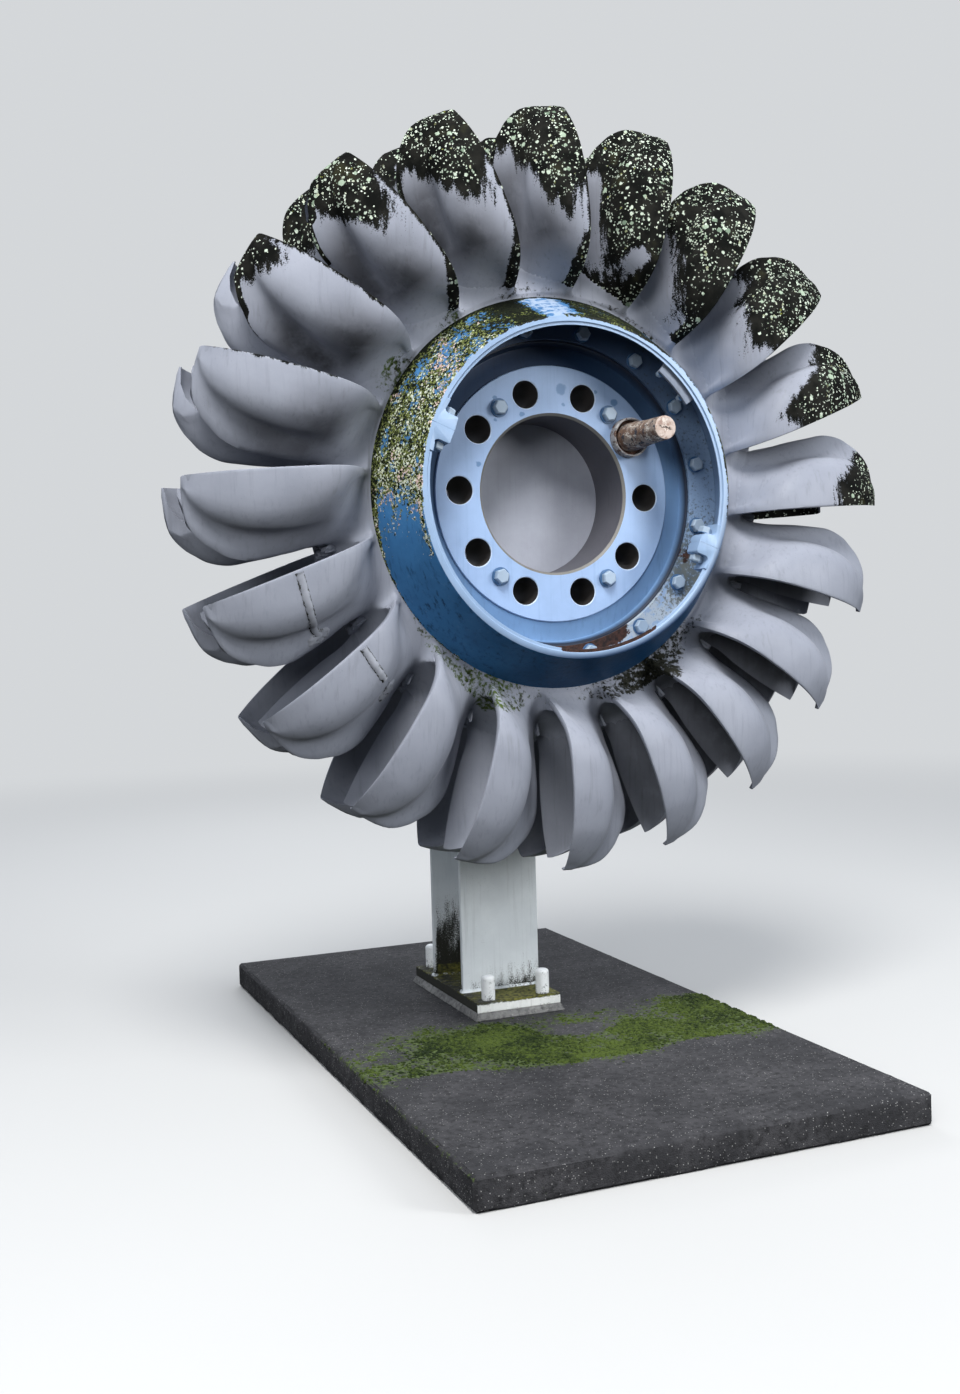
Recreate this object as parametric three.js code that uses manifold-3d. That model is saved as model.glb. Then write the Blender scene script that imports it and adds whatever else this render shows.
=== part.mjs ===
// Pelton wheel of a hydroelectric turbine, stood up as a monument.
// A three metre cast runner with twenty double buckets turns on a stub axle,
// which a steel H-section post carries over a concrete pad.
// Millimetres, +Z up. The wheel's front looks along -Y.
// The origin is under the middle of the pad.

import * as THREE from 'three';
import { mergeVertices } from 'three/addons/utils/BufferGeometryUtils.js';
import Module from 'manifold-3d';

const wasm = await Module();
wasm.setup();

// Clearance between pieces that sit against each other
const seat = 0.3;

// Stand: pad, grout bed, base plate, post and anchors
const pad = { width: 1764, length: 3240, height: 120 };
const plate = { width: 396, length: 786, height: 45, middleY: 403 };
const grout = { height: 30, spread: 16 };
const post = { width: 371, depth: 379, flange: 22, web: 14, rise: 2350, middleY: 399 };
const anchor = { radius: 30, height: 108, offsetX: 130, offsetY: 351, sides: 12 };

// Wheel: the coupling face is the plane y = 0 of the wheel's own frame
const axisRise = 2220;
const couplingY = -475;
const midPlaneY = 125;
const bucketCount = 20;
const firstBucketDegrees = 106.742;
const tipRadius = 1500;

// Runner disc around the flange
const disc = { halfWidth: 137, faceRadius: 780, rimRadius: 940, sides: 60 };
const bore = { radius: 312, recess: 247 };

// Coupling flange in the middle of the disc, with its ring of bolt holes
const flange = { radius: 509 };
const boltHole = { count: 10, radius: 55, circle: 407, firstDegrees: -1.54, sides: 12 };
const pin = { radius: 47, front: -310, back: 250, hole: 1, collarRadius: 80, collarLength: 40 };

// Conical cover ring in two halves, bolted to the disc by its foot
const cover = {
  footRadius: 774, rimRadius: 654, rimInner: 618, depth: 234, footInner: 606,
  footThickness: 15, throatRadius: 728, splitDegrees: 158.5, splitGap: 2, sides: 60,
};
const lug = { inner: 556, outer: 640, length: 78, thickness: 26 };
const balance = { inner: 586, outer: 626.9, depth: 12, setBack: 20, from: 35, to: 52 };

// Hub behind the disc and the stub axle that it turns on
const hub = { flangeRadius: 345, flangeEnd: 300, bossRadius: 200, bossEnd: 560, floor: 285 };
const axle = { radius: 120, play: 0.5, front: 290, shoulder: 640, flangeRadius: 180, sides: 32 };
const postFaceY = 684;

// Bucket rims, backs and cups are given against the radius from the wheel's axis.
// Heights are measured from the bucket's radial plane, positive towards its mouth.
const bucketRoot = 797;
const rimRootHeight = 64;
const rimSlope = -0.078;
const cup = { start: 862, end: 1490, depth: 186, squareness: 2.5 };
const rimDrop = 18;
const halfWidth = curve([
  [797, 158], [856, 263], [914, 327], [973, 358], [1032, 369], [1090, 370],
  [1207, 362], [1324, 333], [1383, 305], [1441, 263], [1500, 204],
]);
const rimWidth = curve([[797, 62], [860, 46], [950, 28], [1100, 17], [1500, 14]]);
const splitter = curve([[797, 64], [880, 56], [1036, 18], [1146, 17], [1256, 11], [1366, 0], [1476, -17]]);

// Radius of the tip edge against the share of the half width: point, notch and lip
const tipEdge = curve([[0, 1476], [0.2, 1438], [0.42, 1391], [0.54, 1398], [0.7, 1470], [0.8, 1495], [1, 1500]]);

// The keel on the back of each cup runs out from the root to the lip
const keelOffset = curve([[797, 110], [950, 112], [1100, 135], [1250, 168], [1500, 186]]);

// Height of the back along seven lines, from the mid-plane out to the rim
const backLines = [
  curve([[797, -150], [900, -198], [1000, -212], [1280, -198], [1350, -168], [1430, -110], [1476, -42]]),
  curve([[797, -155], [900, -204], [1000, -218], [1200, -236], [1280, -230], [1350, -188], [1400, -124]]),
  curve([
    [797, -158], [860, -188], [930, -208], [990, -222], [1080, -250], [1170, -271], [1250, -286],
    [1330, -275], [1380, -250], [1420, -226], [1470, -172], [1490, -112], [1500, -28],
  ]),
  curve([[797, -88], [870, -112], [950, -150], [1050, -172], [1200, -190], [1320, -184], [1420, -140], [1500, -24]]),
  curve([[797, 20], [850, 6], [920, -70], [980, -112], [1050, -146], [1130, -165], [1280, -166], [1400, -124], [1500, -20]]),
  curve([[797, 42], [870, 20], [950, -30], [1050, -74], [1200, -92], [1330, -80], [1430, -50], [1500, -14]]),
];
const backShares = [0.34, 0.68, 0.93];

// Smooth curve through listed points, flat beyond both ends
function curve(points) {
  const slopes = points.map((point, i) => {
    const before = points[Math.max(i - 1, 0)];
    const after = points[Math.min(i + 1, points.length - 1)];
    return (after[1] - before[1]) / (after[0] - before[0]);
  });
  return (x) => {
    if (x <= points[0][0]) return points[0][1];
    const i = points.findIndex((point) => point[0] >= x);
    if (i < 0) return points[points.length - 1][1];
    const span = points[i][0] - points[i - 1][0];
    const t = (x - points[i - 1][0]) / span;
    const rise = points[i][1] - points[i - 1][1];
    const cubic = rise * t * t * (3 - 2 * t);
    const startBend = slopes[i - 1] * span * t * (1 - t) * (1 - t);
    const endBend = slopes[i] * span * t * t * (1 - t);
    return points[i - 1][1] + cubic + startBend - endBend;
  };
}

function radians(degrees) {
  return THREE.MathUtils.degToRad(degrees);
}

// Closed geometry with shared vertices and no collapsed triangles
function weld(geometry) {
  const bare = geometry.clone();
  bare.deleteAttribute('normal');
  bare.deleteAttribute('uv');
  const merged = mergeVertices(bare, 1e-3);
  const source = merged.index.array;
  const kept = [];
  for (let i = 0; i < source.length; i += 3) {
    const [a, b, c] = [source[i], source[i + 1], source[i + 2]];
    if (a !== b && b !== c && c !== a) kept.push(a, b, c);
  }
  merged.setIndex(kept);
  return merged;
}

function toManifold(geometry) {
  const closed = weld(geometry);
  return new wasm.Manifold(new wasm.Mesh({
    numProp: 3,
    vertProperties: Float32Array.from(closed.attributes.position.array),
    triVerts: Uint32Array.from(closed.index.array),
  }));
}

function toGeometry(manifold) {
  const result = manifold.getMesh();
  const geometry = new THREE.BufferGeometry();
  geometry.setAttribute('position', new THREE.BufferAttribute(result.vertProperties, 3));
  geometry.setIndex(new THREE.BufferAttribute(result.triVerts, 1));
  return geometry;
}

function cut(base, tools) {
  return toGeometry(tools.reduce((solid, tool) => solid.subtract(toManifold(tool)), toManifold(base)));
}

function join(base, additions) {
  return toGeometry(additions.reduce((solid, piece) => solid.add(toManifold(piece)), toManifold(base)));
}

function common(base, other) {
  return toGeometry(toManifold(base).intersect(toManifold(other)));
}

// Solid of revolution about the wheel's axis from a closed outline of [radius, y]
function turned(outline, sides) {
  const points = outline.map(([radius, y]) => new THREE.Vector2(radius, y));
  const onAxis = outline[0][0] === 0;
  if (!onAxis) points.push(points[0].clone());
  return weld(new THREE.LatheGeometry(points, sides));
}

// The same, with its facets turned to line up with the buckets
function turnedWithBuckets(outline) {
  return turned(outline, disc.sides).rotateY(radians(-firstBucketDegrees));
}

// Cylinder along the wheel's axis, at a place on a bolt circle
function axialCylinder(radius, front, back, sides, circle, degrees) {
  const cylinder = new THREE.CylinderGeometry(radius, radius, back - front, sides);
  const x = circle * Math.cos(radians(degrees));
  const z = circle * Math.sin(radians(degrees));
  return cylinder.translate(x, (front + back) / 2, z);
}

function paint(color, roughness, metalness) {
  return new THREE.MeshStandardMaterial({ color, roughness, metalness });
}

const paints = {
  runner: paint('#8f8f99', 0.55, 0.1),
  paleBlue: paint('#a9bac2', 0.5, 0.1),
  darkBlue: paint('#2c4653', 0.55, 0.1),
  rust: paint('#7a5744', 0.85, 0.2),
  bareSteel: paint('#8b8f92', 0.55, 0.6),
  offWhite: paint('#cfcfc6', 0.6, 0.05),
  mossy: paint('#5d6440', 0.9, 0),
  concrete: paint('#55574f', 0.95, 0),
};

function piece(name, geometry, material) {
  const mesh = new THREE.Mesh(geometry, material);
  mesh.name = name;
  return mesh;
}

function rimHeight(radius) {
  return rimRootHeight + rimSlope * (radius - bucketRoot);
}

// Place over a half bucket: s runs from root to tip and t from mid-plane to rim
function bucketPlace(s, t) {
  const rimRadius = bucketRoot + s * (tipRadius - bucketRoot);
  const radius = bucketRoot + s * (tipEdge(t) - bucketRoot);
  return { radius, offset: t * halfWidth(rimRadius) };
}

function superellipse(share) {
  const inside = Math.max(0, 1 - Math.abs(share) ** cup.squareness);
  return inside ** (1 / cup.squareness);
}

// Mouth side: rim face, cup and splitter
function mouthPoint(s, column) {
  const rimRadius = bucketRoot + s * (tipRadius - bucketRoot);
  const innerShare = 1 - rimWidth(rimRadius) / halfWidth(rimRadius);
  const t = column > 1 ? 1 : column * innerShare;
  const { radius, offset } = bucketPlace(s, t);
  if (column > 1) return [radius, offset, rimHeight(radius)];
  const middle = (cup.start + cup.end) / 2;
  const along = superellipse((radius - middle) / (cup.end - middle));
  const across = superellipse(2 * column - 1);
  const brim = splitter(radius) * (1 - column) + rimHeight(radius) * column;
  return [radius, offset, brim - cup.depth * along * across];
}

// Back side: seven lines from the mid-plane over the keel to the rim
function backPoint(s, line) {
  const rimRadius = bucketRoot + s * (tipRadius - bucketRoot);
  const keelShare = keelOffset(rimRadius) / halfWidth(rimRadius);
  const shares = [0, keelShare / 2, keelShare];
  backShares.forEach((share) => shares.push(keelShare + share * (1 - keelShare)));
  shares.push(1);
  const { radius, offset } = bucketPlace(s, shares[line]);
  const height = line < backLines.length ? backLines[line](radius) : rimHeight(radius) - rimDrop;
  return [radius, offset, height];
}

// One bucket in the radial plane of +X, before it is cut to the disc
function bucketBlank() {
  const rows = [0, 0.093, 0.2, 0.36, 0.54, 0.7, 0.83, 0.92, 0.972, 1];
  const mouthColumns = [0, 0.08, 0.3, 0.62, 0.88, 1, 2];
  const lines = [0, 1, 2, 3, 4, 5, 6];
  const positions = [];
  const index = [];
  const across = 2 * lines.length - 1;

  function addGrid(pointAt, columns) {
    const first = positions.length / 3;
    for (const s of rows) {
      for (let i = 1 - columns.length; i < columns.length; i += 1) {
        const [radius, offset, height] = pointAt(s, columns[Math.abs(i)]);
        positions.push(radius, midPlaneY - Math.sign(i) * offset, -height);
      }
    }
    return (row, column) => first + row * across + column;
  }

  function addQuad(a, b, c, d) {
    index.push(a, b, c, a, c, d);
  }

  const mouth = addGrid(mouthPoint, mouthColumns);
  const back = addGrid(backPoint, lines);
  const lastRow = rows.length - 1;
  const lastColumn = across - 1;
  for (let row = 0; row < lastRow; row += 1) {
    for (let column = 0; column < lastColumn; column += 1) {
      addQuad(mouth(row, column), mouth(row + 1, column), mouth(row + 1, column + 1), mouth(row, column + 1));
      addQuad(back(row, column), back(row, column + 1), back(row + 1, column + 1), back(row + 1, column));
    }
    addQuad(mouth(row, 0), back(row, 0), back(row + 1, 0), mouth(row + 1, 0));
    addQuad(mouth(row, lastColumn), mouth(row + 1, lastColumn), back(row + 1, lastColumn), back(row, lastColumn));
  }
  for (let column = 0; column < lastColumn; column += 1) {
    addQuad(mouth(0, column), mouth(0, column + 1), back(0, column + 1), back(0, column));
    addQuad(mouth(lastRow, column), back(lastRow, column), back(lastRow, column + 1), mouth(lastRow, column + 1));
  }

  const geometry = new THREE.BufferGeometry();
  geometry.setAttribute('position', new THREE.Float32BufferAttribute(positions, 3));
  geometry.setIndex(index);
  return geometry;
}

// Outline of the disc, grown by a clearance where the buckets meet it
function discOutline(growth) {
  const front = midPlaneY - disc.halfWidth - growth;
  const back = midPlaneY + disc.halfWidth + growth;
  const shoulders = [[0.42, 0.2], [0.85, 0.6]];
  const step = disc.rimRadius - disc.faceRadius;
  const rise = shoulders.map(([out, inward]) => [
    disc.faceRadius + out * step + growth,
    front + inward * disc.halfWidth,
  ]);
  const fall = rise.map(([radius, y]) => [radius, 2 * midPlaneY - y]).reverse();
  return { front, back, rise, fall, rim: [disc.rimRadius + growth, midPlaneY] };
}

function runnerDisc() {
  const { front, back, rise, fall, rim } = discOutline(0);
  return turnedWithBuckets([
    [flange.radius + seat, 8],
    [580, 26],
    [586, 26],
    [598, front],
    [disc.faceRadius, front],
    ...rise, rim, ...fall,
    [disc.faceRadius, back],
    [flange.radius + seat, back],
  ]);
}

function couplingFlange() {
  const back = midPlaneY + disc.halfWidth;
  const ring = turnedWithBuckets([
    [bore.radius, 0],
    [flange.radius, 0],
    [flange.radius, back],
    [bore.radius, back],
  ]);
  const holes = [];
  for (let i = 0; i < boltHole.count; i += 1) {
    const degrees = boltHole.firstDegrees + (i * 360) / boltHole.count;
    holes.push(axialCylinder(boltHole.radius, -10, back + 10, boltHole.sides, boltHole.circle, degrees));
  }
  return cut(ring, holes);
}

function couplingPin() {
  const degrees = boltHole.firstDegrees + (pin.hole * 360) / boltHole.count;
  const shank = axialCylinder(pin.radius, pin.front, pin.back, 20, boltHole.circle, degrees);
  const collar = axialCylinder(pin.collarRadius, -seat - pin.collarLength, -seat, 20, boltHole.circle, degrees);
  return join(shank, [collar]);
}

// Half space on one side of the plane that splits the cover ring
function splitBox(side) {
  const size = 2 * cover.footRadius;
  const box = new THREE.BoxGeometry(size, size, size);
  box.translate(0, 0, side * (size / 2 + cover.splitGap / 2));
  return box.rotateY(radians(-cover.splitDegrees));
}

function coverHalf(side) {
  const foot = midPlaneY - disc.halfWidth - seat;
  const rim = foot - cover.depth;
  const outline = [
    [cover.rimInner, rim],
    [cover.rimRadius, rim],
    [cover.footRadius, foot],
    [cover.footInner, foot],
    [cover.footInner, foot - cover.footThickness],
    [cover.throatRadius, foot - cover.footThickness],
  ];
  const half = common(turned(outline, cover.sides), splitBox(side));
  const lugs = [-1, 1].map((end) => {
    const box = new THREE.BoxGeometry(lug.outer - lug.inner, lug.length, lug.thickness);
    const away = side * (cover.splitGap / 2 + lug.thickness / 2);
    box.translate(end * (lug.outer + lug.inner) / 2, rim + lug.length / 2, away);
    return box.rotateY(radians(-cover.splitDegrees));
  });
  return join(half, lugs);
}

function balancePlate() {
  const shape = new THREE.Shape();
  shape.absarc(0, 0, balance.outer, radians(balance.from), radians(balance.to), false);
  shape.absarc(0, 0, balance.inner, radians(balance.to), radians(balance.from), true);
  const strip = new THREE.ExtrudeGeometry(shape, { depth: balance.depth, bevelEnabled: false, curveSegments: 6 });
  const rim = midPlaneY - disc.halfWidth - seat - cover.depth;
  return weld(strip.rotateX(Math.PI / 2).translate(0, rim + balance.setBack + balance.depth, 0));
}

function rearHub() {
  const discBack = midPlaneY + disc.halfWidth + seat;
  const inner = axle.radius + axle.play;
  return turnedWithBuckets([
    [0, bore.recess],
    [bore.radius - seat, bore.recess],
    [bore.radius - seat, discBack],
    [hub.flangeRadius, discBack],
    [hub.flangeRadius, hub.flangeEnd],
    [hub.bossRadius, hub.flangeEnd],
    [hub.bossRadius, hub.bossEnd],
    [inner, hub.bossEnd],
    [inner, hub.floor],
    [0, hub.floor],
  ]);
}

function stubAxle() {
  const end = postFaceY - seat;
  return turned([
    [0, axle.front],
    [axle.radius, axle.front],
    [axle.radius, axle.shoulder],
    [axle.flangeRadius, axle.shoulder],
    [axle.flangeRadius, end],
    [0, end],
  ], axle.sides);
}

// H-section standing with its flanges to the front and the back
function postSection() {
  const [x, y] = [post.width / 2, post.depth / 2];
  const inner = y - post.flange;
  const web = post.web / 2;
  return new THREE.Shape([
    [-x, -y], [x, -y], [x, -inner], [web, -inner], [web, inner], [x, inner],
    [x, y], [-x, y], [-x, inner], [-web, inner], [-web, -inner], [-x, -inner],
  ].map(([px, py]) => new THREE.Vector2(px, py)));
}

function groutBed() {
  const [topX, topY] = [plate.width / 2, plate.length / 2];
  const bottomX = topX + grout.spread;
  const bottomY = topY + grout.spread;
  const bed = new THREE.BoxGeometry(2, 2, 2);
  const position = bed.attributes.position;
  for (let i = 0; i < position.count; i += 1) {
    const upper = position.getZ(i) > 0;
    position.setX(i, position.getX(i) * (upper ? topX : bottomX));
    position.setY(i, position.getY(i) * (upper ? topY : bottomY));
    position.setZ(i, upper ? grout.height : 0);
  }
  return weld(bed);
}

// Anchor bolt under a round-topped protective cap
function anchorCap() {
  const crown = anchor.radius * 0.35;
  const cap = new THREE.LatheGeometry([
    new THREE.Vector2(0, 0),
    new THREE.Vector2(anchor.radius, 0),
    new THREE.Vector2(anchor.radius, anchor.height - crown),
    new THREE.Vector2(anchor.radius * 0.72, anchor.height - crown * 0.25),
    new THREE.Vector2(0, anchor.height),
  ], anchor.sides);
  return weld(cap.rotateX(Math.PI / 2));
}

const wheel = new THREE.Group();
wheel.position.set(0, couplingY, pad.height + axisRise);
wheel.add(piece('runner_disc', runnerDisc(), paints.runner));
wheel.add(piece('coupling_flange', couplingFlange(), paints.paleBlue));
wheel.add(piece('coupling_pin', couplingPin(), paints.rust));
wheel.add(piece('cover_ring_upper', coverHalf(-1), paints.darkBlue));
wheel.add(piece('cover_ring_lower', coverHalf(1), paints.darkBlue));
wheel.add(piece('balance_plate', balancePlate(), paints.rust));
wheel.add(piece('rear_hub', rearHub(), paints.bareSteel));

const { front, back, rise, fall, rim } = discOutline(seat);
const discTool = turned([
  [bore.radius, front], [disc.faceRadius, front], ...rise, rim, ...fall,
  [disc.faceRadius, back], [bore.radius, back],
], disc.sides);
const bucketGeometry = cut(bucketBlank(), [discTool]);
for (let i = 0; i < bucketCount; i += 1) {
  const name = `bucket_${String(i + 1).padStart(2, '0')}`;
  const bucket = piece(name, bucketGeometry, paints.runner);
  bucket.rotation.y = radians((i * 360) / bucketCount - firstBucketDegrees);
  wheel.add(bucket);
}

const stand = new THREE.Group();
const axlePiece = piece('stub_axle', stubAxle(), paints.bareSteel);
axlePiece.position.copy(wheel.position);
stand.add(axlePiece);

const padTop = pad.height;
const groutTop = padTop + seat + grout.height;
const plateTop = groutTop + seat + plate.height;
const padPiece = piece('concrete_pad', new THREE.BoxGeometry(pad.width, pad.length, pad.height), paints.concrete);
padPiece.position.z = pad.height / 2;
const groutPiece = piece('grout_bed', groutBed(), paints.concrete);
groutPiece.position.set(0, plate.middleY, padTop + seat);
const platePiece = piece('base_plate', new THREE.BoxGeometry(plate.width, plate.length, plate.height), paints.mossy);
platePiece.position.set(0, plate.middleY, groutTop + seat + plate.height / 2);
const postSolid = new THREE.ExtrudeGeometry(postSection(), { depth: post.rise, bevelEnabled: false });
const postPiece = piece('post', weld(postSolid), paints.offWhite);
postPiece.position.set(0, post.middleY, plateTop + seat);
stand.add(padPiece, groutPiece, platePiece, postPiece);

[[-1, -1], [1, -1], [-1, 1], [1, 1]].forEach(([sideX, sideY], i) => {
  const cap = piece(`anchor_bolt_${i + 1}`, anchorCap(), paints.offWhite);
  cap.position.set(sideX * anchor.offsetX, plate.middleY + sideY * anchor.offsetY, plateTop + seat);
  stand.add(cap);
});

const monument = new THREE.Group();
monument.add(wheel, stand);

export default monument;
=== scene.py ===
# %% [markdown]
# # A Pelton wheel set up as a monument
#
# A Pelton wheel is a water turbine. Jets of water strike the double buckets around its rim and turn it.
# This one is a single casting, three metres across. It has been retired, painted grey and blue, and hung
# on a steel post over a concrete pad, where black crust, lichen and moss have grown on it.
#
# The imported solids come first, because every piece of this scene is made around them. They fix where
# each thing is and which body it turns with. The scene only refines their shapes and gives them a finish.

# %% Load the fixed frame
import math

import bmesh
import bpy
import numpy as np
from mathutils import Matrix, Vector, noise
from mathutils.bvhtree import BVHTree


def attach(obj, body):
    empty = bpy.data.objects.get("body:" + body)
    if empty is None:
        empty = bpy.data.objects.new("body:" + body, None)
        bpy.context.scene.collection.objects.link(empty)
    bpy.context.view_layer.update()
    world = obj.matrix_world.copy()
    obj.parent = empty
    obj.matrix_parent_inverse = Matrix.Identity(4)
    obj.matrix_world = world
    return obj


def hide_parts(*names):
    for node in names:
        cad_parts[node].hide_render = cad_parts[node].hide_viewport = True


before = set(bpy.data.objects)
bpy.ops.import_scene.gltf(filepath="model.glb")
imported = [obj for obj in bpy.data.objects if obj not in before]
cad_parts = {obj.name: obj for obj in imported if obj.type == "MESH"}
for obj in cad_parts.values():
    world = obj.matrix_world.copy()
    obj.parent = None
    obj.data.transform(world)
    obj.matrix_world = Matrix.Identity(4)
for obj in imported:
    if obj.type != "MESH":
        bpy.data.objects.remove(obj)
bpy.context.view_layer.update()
print("solids in the frame:", len(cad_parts))

# %% [markdown]
# ## The camera
#
# The camera stands low and a little to the left, as the photographer did. A camera can be placed by eye,
# but here its place, turn and focal length were worked out from the outlines of the flange, the holes
# and the pad, so that the render and the photograph can be laid over each other. The wheel leans a little
# to the left in the picture, which is the camera's roll.

# %% Place the camera
CAMERA_PLACE = Vector((-2.463, -5.629, 1.798))
CAMERA_YAW, CAMERA_PITCH, CAMERA_ROLL = (math.radians(a) for a in (22.332, -2.605, -1.628))
FOCAL_PIXELS, PICTURE_HEIGHT, SENSOR = 1421.3, 1394, 36.0


def new_object(name, data):
    """An object in the scene that carries a mesh, a lamp or a camera."""
    made = bpy.data.objects.new(name, data)
    bpy.context.scene.collection.objects.link(made)
    return made


forward = Vector((
    math.sin(CAMERA_YAW) * math.cos(CAMERA_PITCH),
    math.cos(CAMERA_YAW) * math.cos(CAMERA_PITCH),
    math.sin(CAMERA_PITCH),
))
level_right = Vector((math.cos(CAMERA_YAW), -math.sin(CAMERA_YAW), 0))
level_up = level_right.cross(forward)
right = level_right * math.cos(CAMERA_ROLL) + level_up * math.sin(CAMERA_ROLL)
up = level_up * math.cos(CAMERA_ROLL) - level_right * math.sin(CAMERA_ROLL)

camera_data = bpy.data.cameras.new("camera")
camera_data.sensor_fit = "VERTICAL"
camera_data.sensor_height = SENSOR
camera_data.lens = FOCAL_PIXELS / PICTURE_HEIGHT * SENSOR
camera = new_object("camera", camera_data)
camera.matrix_world = Matrix.Translation(CAMERA_PLACE) @ Matrix((right, up, -forward)).transposed().to_4x4()
bpy.context.scene.camera = camera
print("focal length in mm:", round(camera_data.lens, 2))

# %% [markdown]
# ## The wheel's own frame
#
# Almost everything on the wheel is easiest to say as a radius, an angle and a depth along the axle. So
# pieces are first made with the axle's centre at the origin and the coupling face at depth zero, and one
# move puts each mesh into place. The move goes into the mesh and not into the object, so that textures
# that read object coordinates stay put.

# %% Wheel frame and basic helpers
COUPLING_Y, AXLE_Z = -0.475, 2.34
WHEEL_PLACE = Vector((0, COUPLING_Y, AXLE_Z))
AS_IT_IS = Vector((0, 0, 0))
MID_PLANE = 0.125
MERGE_DISTANCE = 1e-5


def polar(radius, degrees, depth):
    """A point of the wheel from its radius, its angle from +X towards +Z, and its depth along the axle."""
    angle = math.radians(degrees)
    return Vector((radius * math.cos(angle), depth, radius * math.sin(angle)))


def around_axle(points):
    """Radius, and angle in degrees from 0 to 360, of points in the wheel's own frame."""
    return np.hypot(points[:, 0], points[:, 2]), np.degrees(np.arctan2(points[:, 2], points[:, 0])) % 360


def finish_mesh(name, mesh, material, body, replaced=(), sharp=38.0, place=WHEEL_PLACE):
    """Moves a mesh into place, smooths it up to an angle, and rides it on its body."""
    mesh.transform(Matrix.Translation(place))
    mesh.shade_smooth()
    mesh.set_sharp_from_angle(angle=math.radians(sharp))
    piece = new_object(name, mesh)
    for each in material if isinstance(material, (list, tuple)) else [material]:
        mesh.materials.append(each)
    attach(piece, body)
    if replaced:
        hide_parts(*replaced)
    return piece


def mesh_from(name, vertices, faces, merged=True):
    """A mesh from points and faces, with normals outwards and, unless told otherwise, doubles merged."""
    mesh = bpy.data.meshes.new(name)
    mesh.from_pydata([tuple(v) for v in vertices], [], faces)
    shell = bmesh.new()
    shell.from_mesh(mesh)
    if merged:
        bmesh.ops.remove_doubles(shell, verts=shell.verts, dist=MERGE_DISTANCE)
    bmesh.ops.recalc_face_normals(shell, faces=shell.faces)
    shell.to_mesh(mesh)
    shell.free()
    return mesh


def loop_faces(rows, count, joined=False):
    """Quads between rows of points, each row a closed loop; joined ties the last row to the first as well."""
    faces = []
    for row in range(rows if joined else rows - 1):
        after = (row + 1) % rows
        for i in range(count):
            j = (i + 1) % count
            faces.append((row * count + i, row * count + j, after * count + j, after * count + i))
    return faces


def end_faces(rows, count):
    """The first and the last of such rows, each as one face."""
    return [tuple(range(count)), tuple(range((rows - 1) * count, rows * count))]


def point_list(mesh):
    """The points of a mesh as an array."""
    points = np.empty(len(mesh.vertices) * 3)
    mesh.vertices.foreach_get("co", points)
    return points.reshape(-1, 3)


def triangles(mesh):
    """How many triangles a mesh has."""
    mesh.calc_loop_triangles()
    return len(mesh.loop_triangles)


# %% [markdown]
# ## Turned parts
#
# Flanges, rings, bolts and the hub are turned on a lathe, and so are their models: an outline in radius
# and depth is swept around the axle. No machined edge is perfectly sharp, so each corner of an outline
# carries a radius of its own, and the helper replaces the corner by a small arc. That catches the light
# along the edge, and it costs fewer faces than a bevel over the whole mesh.

# %% Outlines with rounded corners, and the lathe
def rounded(outline, steps=3):
    """Replaces each corner (radius, depth, rounding) of a closed outline by an arc."""
    points = []
    count = len(outline)
    for i, corner in enumerate(outline):
        here = Vector(corner[:2])
        size = corner[2] if len(corner) > 2 else 0
        if not size:
            points.append(tuple(here))
            continue
        before = (Vector(outline[i - 1][:2]) - here).normalized()
        after = (Vector(outline[(i + 1) % count][:2]) - here).normalized()
        half = before.angle(after) / 2
        reach = size / math.tan(half)
        middle = here + (before + after).normalized() * size / math.sin(half)
        start = here + before * reach - middle
        turn = start.angle_signed(here + after * reach - middle)
        for step in range(steps + 1):
            angle = -turn * step / steps
            spun = Matrix.Rotation(angle, 2) @ start
            points.append(tuple(middle + spun))
    return points


def lathe(name, outline, sides, start=0.0, end=360.0):
    """Sweeps a closed outline of (radius, depth) about the axle, all the way or between two angles."""
    whole = end - start >= 360
    columns = sides if whole else sides + 1
    count = len(outline)
    angles = np.radians(start + (end - start) * np.arange(columns) / sides)
    profile = np.array(outline, float)
    points = np.empty((columns, count, 3))
    points[:, :, 0] = np.cos(angles)[:, None] * profile[:, 0]
    points[:, :, 1] = profile[:, 1]
    points[:, :, 2] = np.sin(angles)[:, None] * profile[:, 0]
    on_axle = profile[:, 0] == 0
    faces = [
        face for face in loop_faces(columns, count, whole)
        if not (on_axle[face[0] % count] and on_axle[face[1] % count])
    ]
    if not whole:
        faces += [tuple(range(count)), tuple(sides * count + i for i in reversed(range(count)))]
    return mesh_from(name, points.reshape(-1, 3), faces)


# %% [markdown]
# ## Materials from shader nodes
#
# Every finish here is procedural: noise and cells, mixed by masks. A few effects come back on many
# pieces, so each is built once as a node group. The groups give out only masks, colours and heights, and
# each material adds its own shader. A node's output is held as a value that can be added and multiplied
# like a number, which adds the maths nodes, so that a mask reads like the formula that it is.

# %% Values, and helpers that add and link nodes
class Value:
    """An output of a node. Sums and products of values add maths nodes, and value[name] is another output."""

    def __init__(self, socket):
        self.socket = socket
        self.tree = socket.id_data

    def __getitem__(self, name):
        return Value(self.socket.node.outputs[name])

    def __add__(self, other):
        return maths("ADD", self, other)

    def __sub__(self, other):
        return maths("SUBTRACT", self, other)

    def __rsub__(self, other):
        return maths("SUBTRACT", other, self)

    def __mul__(self, other):
        return maths("MULTIPLY", self, other)

    __radd__ = __add__
    __rmul__ = __mul__


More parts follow.
